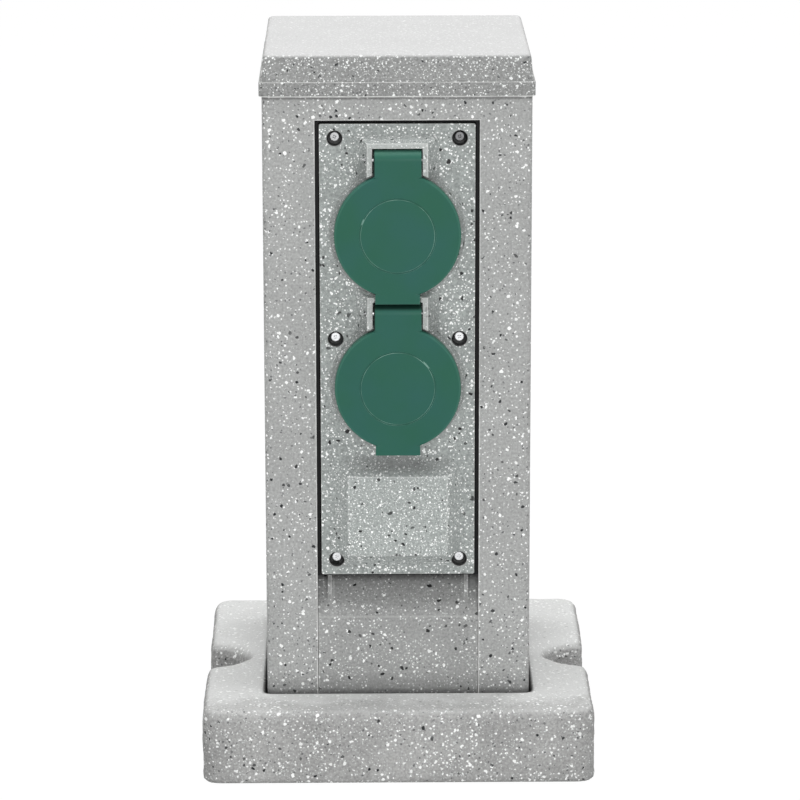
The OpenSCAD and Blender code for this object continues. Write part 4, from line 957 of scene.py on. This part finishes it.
# %% The tree that shapes stone
def make_stone_tree():
    tree, given, out = new_group(
        "stone_surface",
        [("Geometry", "geometry"), ("Broad depth", "number", 1.0), ("Broad size", "number", 30.0),
         ("Fine depth", "number", 0.3), ("Fine size", "number", 5.0), ("Material", "material")],
        [("Geometry", "geometry")], "GeometryNodeTree")
    where = node(tree, "GeometryNodeInputPosition").outputs[0]

    def waves(size, depth):
        swell = ramp(tree, noise(tree, where, per_metre(tree, size)), 0.25, 0.75)
        return product(tree, swell, product(tree, depth, MM))

    depth = maths(tree, "ADD", waves(given["Broad size"], given["Broad depth"]),
                  waves(given["Fine size"], given["Fine depth"]))
    skin = node(tree, "GeometryNodeInputNamedAttribute", {"Name": "skin"}, data_type="FLOAT").outputs[0]
    inwards = product(tree, depth, skin, -1.0)
    offset = scaled(tree, node(tree, "GeometryNodeInputNormal").outputs[0], inwards)
    moved = node(tree, "GeometryNodeSetPosition", {"Geometry": given["Geometry"], "Offset": offset})
    plug(tree, out["Geometry"], finished(tree, moved.outputs[0], given["Material"]))
    return tree


def finished(tree, geometry, material):
    """The last two nodes of each tree: real geometry, and its material."""
    whole = node(tree, "GeometryNodeRealizeInstances", {"Geometry": geometry}).outputs[0]
    return node(tree, "GeometryNodeSetMaterial", {"Geometry": whole, "Material": material}).outputs[0]


def set_inputs(modifier, **values):
    """Fills a Geometry Nodes modifier by its sockets' names. A space in a name is written as _."""
    for item in modifier.node_group.interface.items_tree:
        key = item.name.replace(" ", "_")
        if item.item_type == "SOCKET" and item.in_out == "INPUT" and key in values:
            modifier[item.identifier] = values[key]


# %% Read and move the points of a mesh
def read_points(mesh):
    """The places of a mesh's points in millimetres, one row each."""
    places = np.zeros(len(mesh.vertices) * 3)
    mesh.vertices.foreach_get("co", places)
    return places.reshape(-1, 3) / MM


def write_points(mesh, places):
    """Moves a mesh's points to places in millimetres."""
    mesh.vertices.foreach_set("co", (places * MM).ravel())
    mesh.update()


def share_of(values, start, end):
    """0 up to a start, 1 past an end, and a straight line between them."""
    return np.clip((values - start) / (end - start), 0, 1)


# %% Remesh the base
stone = new_piece("stone_base", welded_copy("base_block"), STONE)
remesh = stone.modifiers.new("even_grid", "REMESH")
remesh.mode = "VOXEL"
remesh.voxel_size = 1.5 * MM
remesh.use_smooth_shade = True
relax = stone.modifiers.new("relax", "SMOOTH")
relax.factor = 0.5
relax.iterations = 2
settled(stone)
print("grid", len(stone.data.vertices), "points")

# %% Mark its skin, its top and its pockets
half_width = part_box("base_block")[1].x / MM
recess_half = 54.8
# The strength of the painted shade in the gap round the column's foot.
recess_shade = 3
pocket_out = 0.5
pocket_r_low = 15.5
pocket_r_high = 19
pocket_z = 16
smooth_top = 0.6

points = read_points(stone.data)
normals = np.array([normal.vector for normal in stone.data.vertex_normals])
x, y, z = points.T
across = np.maximum(np.abs(x), np.abs(y))
outwards = (points[:, :2] * normals[:, :2]).sum(axis=1) / np.hypot(x, y)
facing = np.clip(2 * np.maximum(outwards, np.where(z > 20, normals[:, 2], 0)), 0, 1)
upward = share_of(normals[:, 2], 0.66, 0.96) * (z > base_top - 4)
skin = facing * share_of(across, recess_half + 2, recess_half + 6) * share_of(z, 0.8, 3.8)
skin *= 1 - smooth_top * upward
from_axis = np.hypot(half_width + pocket_out - np.abs(x), y)
pocket_r = pocket_r_low + (pocket_r_high - pocket_r_low) * (z - pocket_z) / (base_top - pocket_z)
inside = share_of(pocket_r - from_axis, -1, 0.5) * (z > pocket_z - 1)
back_share = np.clip(0.5 + y / np.maximum(from_axis, 1), 0, 1)
# Painted shade in the pockets, most at their front and low down, and in the gap round the column's foot.
pocket_shade = inside * (1 - share_of(z, pocket_z + 7, pocket_z + 15)) * (1 - 0.3 * back_share)
pocket_shade = np.maximum(pocket_shade, recess_shade * (across < recess_half + 0.7) * (z > base_top - 8))
# Painted light on upward faces and on the pockets' far walls.
lit_faces = np.maximum(upward, inside * back_share * share_of(z, pocket_z + 11, pocket_z + 15))
for mark, values in (("skin", skin), ("top", lit_faces), ("pocket", pocket_shade)):
    stone.data.attributes.new(mark, "FLOAT", "POINT").data.foreach_set("value", values)
print("skin on", int((skin > 0).sum()), "points, pockets on", int((inside > 0).sum()))

# %% Dish the pockets, round their far rims and roughen the skin
dish_rise = 3.5
dish_flat = 4
pocket_inset = 0.8
brim_drop = 3
brim_width = 9
brim_depth = 10

far_part = share_of(from_axis, dish_flat, pocket_r_low) ** 2
z += inside * (1 - share_of(z, pocket_z, base_top)) * dish_rise * far_part * back_share
side_limit = half_width - pocket_inset * (inside > 0)
x[:] = np.clip(x, -side_limit, side_limit)
brim = (1 - share_of(from_axis, pocket_r_high, pocket_r_high + brim_width)) ** 2
brim *= share_of(z, base_top - brim_depth, base_top) * (from_axis > pocket_r_high - 2)
z -= brim * brim_drop * back_share
write_points(stone.data, points)

shaper = stone.modifiers.new("stone_surface", "NODES")
shaper.node_group = make_stone_tree()
set_inputs(shaper, Broad_depth=0.8, Broad_size=30.0, Fine_depth=0.45, Fine_size=3.5, Material=STONE)
settled(stone)
points = read_points(stone.data)
points[:, :2] = np.clip(points[:, :2], -half_width, half_width)
write_points(stone.data, points)
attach(stone, "post")
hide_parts("base_block")
print("stone_base", len(stone.data.polygons), "faces")

# %% [markdown]
# ## Screws
# Identical screws are one shape, placed many times. One screw is turned as on a lathe: a list of radii and
# depths is swept round, and the rings of the drive get four lobes. Geometry Nodes then set a copy on each
# place, and turn each by its own random angle, because no two screws end up the same way round. The places
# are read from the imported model, so they can't drift from it.


# %% Turn one screw
def turned(name, rings):
    """A closed shape from rings of (radius, depth, lobe share), with its axis and its head along +Z."""
    sides = 24
    lobes = 4
    smooth_up_to = 18
    form = bmesh.new()
    loops = []
    for radius, depth, lobe in rings:
        angles = [2 * math.pi * i / sides for i in range(sides)]
        reach = [radius * (1 - lobe * (0.5 - 0.5 * math.cos(lobes * a))) for a in angles]
        ring = [(r * math.cos(a), r * math.sin(a), -depth) for r, a in zip(reach, angles)]
        loops.append([form.verts.new(corner) for corner in ring])
    for above_loop, below_loop in zip(loops, loops[1:]):
        for i in range(sides):
            j = (i + 1) % sides
            form.faces.new((above_loop[i], below_loop[i], below_loop[j], above_loop[j]))
    form.faces.new(loops[0])
    form.faces.new(list(reversed(loops[-1])))
    bmesh.ops.recalc_face_normals(form, faces=form.faces)
    for face in form.faces:
        face.smooth = len(face.verts) == 4
    mesh = bpy.data.meshes.new(name)
    form.to_mesh(mesh)
    form.free()
    mesh.set_sharp_from_angle(angle=math.radians(smooth_up_to))
    return bpy.data.objects.new(name, mesh)


def screw_rings(head_r, head_h, shank_r, length):
    """A cheese head with a rounded rim and a lobed recess, and a shank with a thread."""
    pitch = 0.9
    recess = head_r * 0.4
    core = shank_r * 0.8
    drive = [(recess * 0.5, head_h * 0.35, 0.5), (recess, head_h * 0.3, 0.5), (recess * 1.1, 0, 0.42)]
    head = [(head_r * 0.84, 0, 0), (head_r * 0.95, head_h * 0.06, 0), (head_r, head_h * 0.2, 0),
            (head_r, head_h, 0), (core, head_h, 0)]
    thread = []
    for i in range(max(int((length - head_h - 1) / pitch), 1)):
        top = head_h + 0.4 + i * pitch
        thread += [(core, top, 0), (shank_r, top + pitch * 0.4, 0), (core, top + pitch * 0.8, 0)]
    tip = [(core, length - 0.3, 0), (shank_r * 0.45, length, 0)]
    return [(r * MM, depth * MM, lobe) for r, depth, lobe in drive + head + thread + tip]


# %% The tree that sets screws in their places
def make_screw_tree():
    tree, given, out = new_group(
        "screw_set",
        [("Geometry", "geometry"), ("Screw", "object"), ("Turn", "vector"), ("Seed", "number", 1.0),
         ("Material", "material")],
        [("Geometry", "geometry")], "GeometryNodeTree")
    shape = node(tree, "GeometryNodeObjectInfo", {"Object": given["Screw"], "As Instance": True})
    twist = node(tree, "FunctionNodeRandomValue", {"Min": 0.0, "Max": math.pi, "Seed": given["Seed"]},
                 data_type="FLOAT")
    chance = next(s for s in twist.outputs if s.enabled)
    spin = node(tree, "FunctionNodeAxisAngleToRotation", {"Axis": (0, 0, 1), "Angle": chance}).outputs[0]
    aim = node(tree, "FunctionNodeEulerToRotation", {0: given["Turn"]}).outputs[0]
    facing = node(tree, "FunctionNodeRotateRotation", {"Rotation": spin, "Rotate By": aim}).outputs[0]
    copies = {"Points": given["Geometry"], "Rotation": facing, "Instance": shape.outputs["Geometry"]}
    placed = node(tree, "GeometryNodeInstanceOnPoints", copies).outputs[0]
    plug(tree, out["Geometry"], finished(tree, placed, given["Material"]))
    return tree


SCREW_TREE = make_screw_tree()
print("tree", SCREW_TREE.name)


# %% Read the places from the model and set the screws
def screw_set(source, name, axis, material):
    """Replaces a node of plain screws, whose heads are at the low end of an axis."""
    parts = loose_parts(source)
    others = [i for i in range(3) if i != axis]
    first = parts[0]
    depth = first[:, axis] - first[:, axis].min()
    reach = np.hypot(*(first - middle_of(first))[:, others].T)
    length = depth.max()
    head_r = reach.max()
    shank_r = reach[depth > length - 0.01].max()
    head_h = depth[reach > head_r - 0.01].max()
    form = bmesh.new()
    for part in parts:
        at = middle_of(part)
        at[axis] = part[:, axis].min()
        form.verts.new(Vector(at) * MM)
    piece = new_piece(name, form, material)
    master = turned(name + "_master", screw_rings(head_r, head_h, shank_r, length))
    bpy.context.scene.collection.objects.link(master)
    setter = piece.modifiers.new("screw_set", "NODES")
    setter.node_group = SCREW_TREE
    aim = (math.pi / 2, 0, 0) if axis == 1 else (math.pi, 0, 0)
    set_inputs(setter, Screw=master, Turn=aim, Seed=float(len(parts)), Material=material)
    settled(piece)
    bpy.data.objects.remove(master)
    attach(piece, "post")
    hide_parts(source)
    print(name, len(parts), "screws", [round(float(v), 2) for v in (head_r, head_h, shank_r, length)])


screw_set("faceplate_screws", "plate_screw_set", 1, SCREW_ZINC)
screw_set("insert_screws", "insert_screw_set", 1, FINISHES["steel"])
screw_set("column_screws", "column_screw_set", 2, FINISHES["steel"])

# %% [markdown]
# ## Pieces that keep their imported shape
# Gasket, seals, housing, inserts, contacts, gland, terminals, wires, pins and springs already have their
# real form. They only take their finish, which was set above. The last cell compares the box of the
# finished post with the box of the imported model, because looks must not change a size.

# %% Measure and finish
visual_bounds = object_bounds()
for side, cad, visual in zip(("low", "high"), cad_bounds, visual_bounds):
    print(side, "moved", [round((v - c) / MM, 2) for c, v in zip(cad, visual)], "mm")
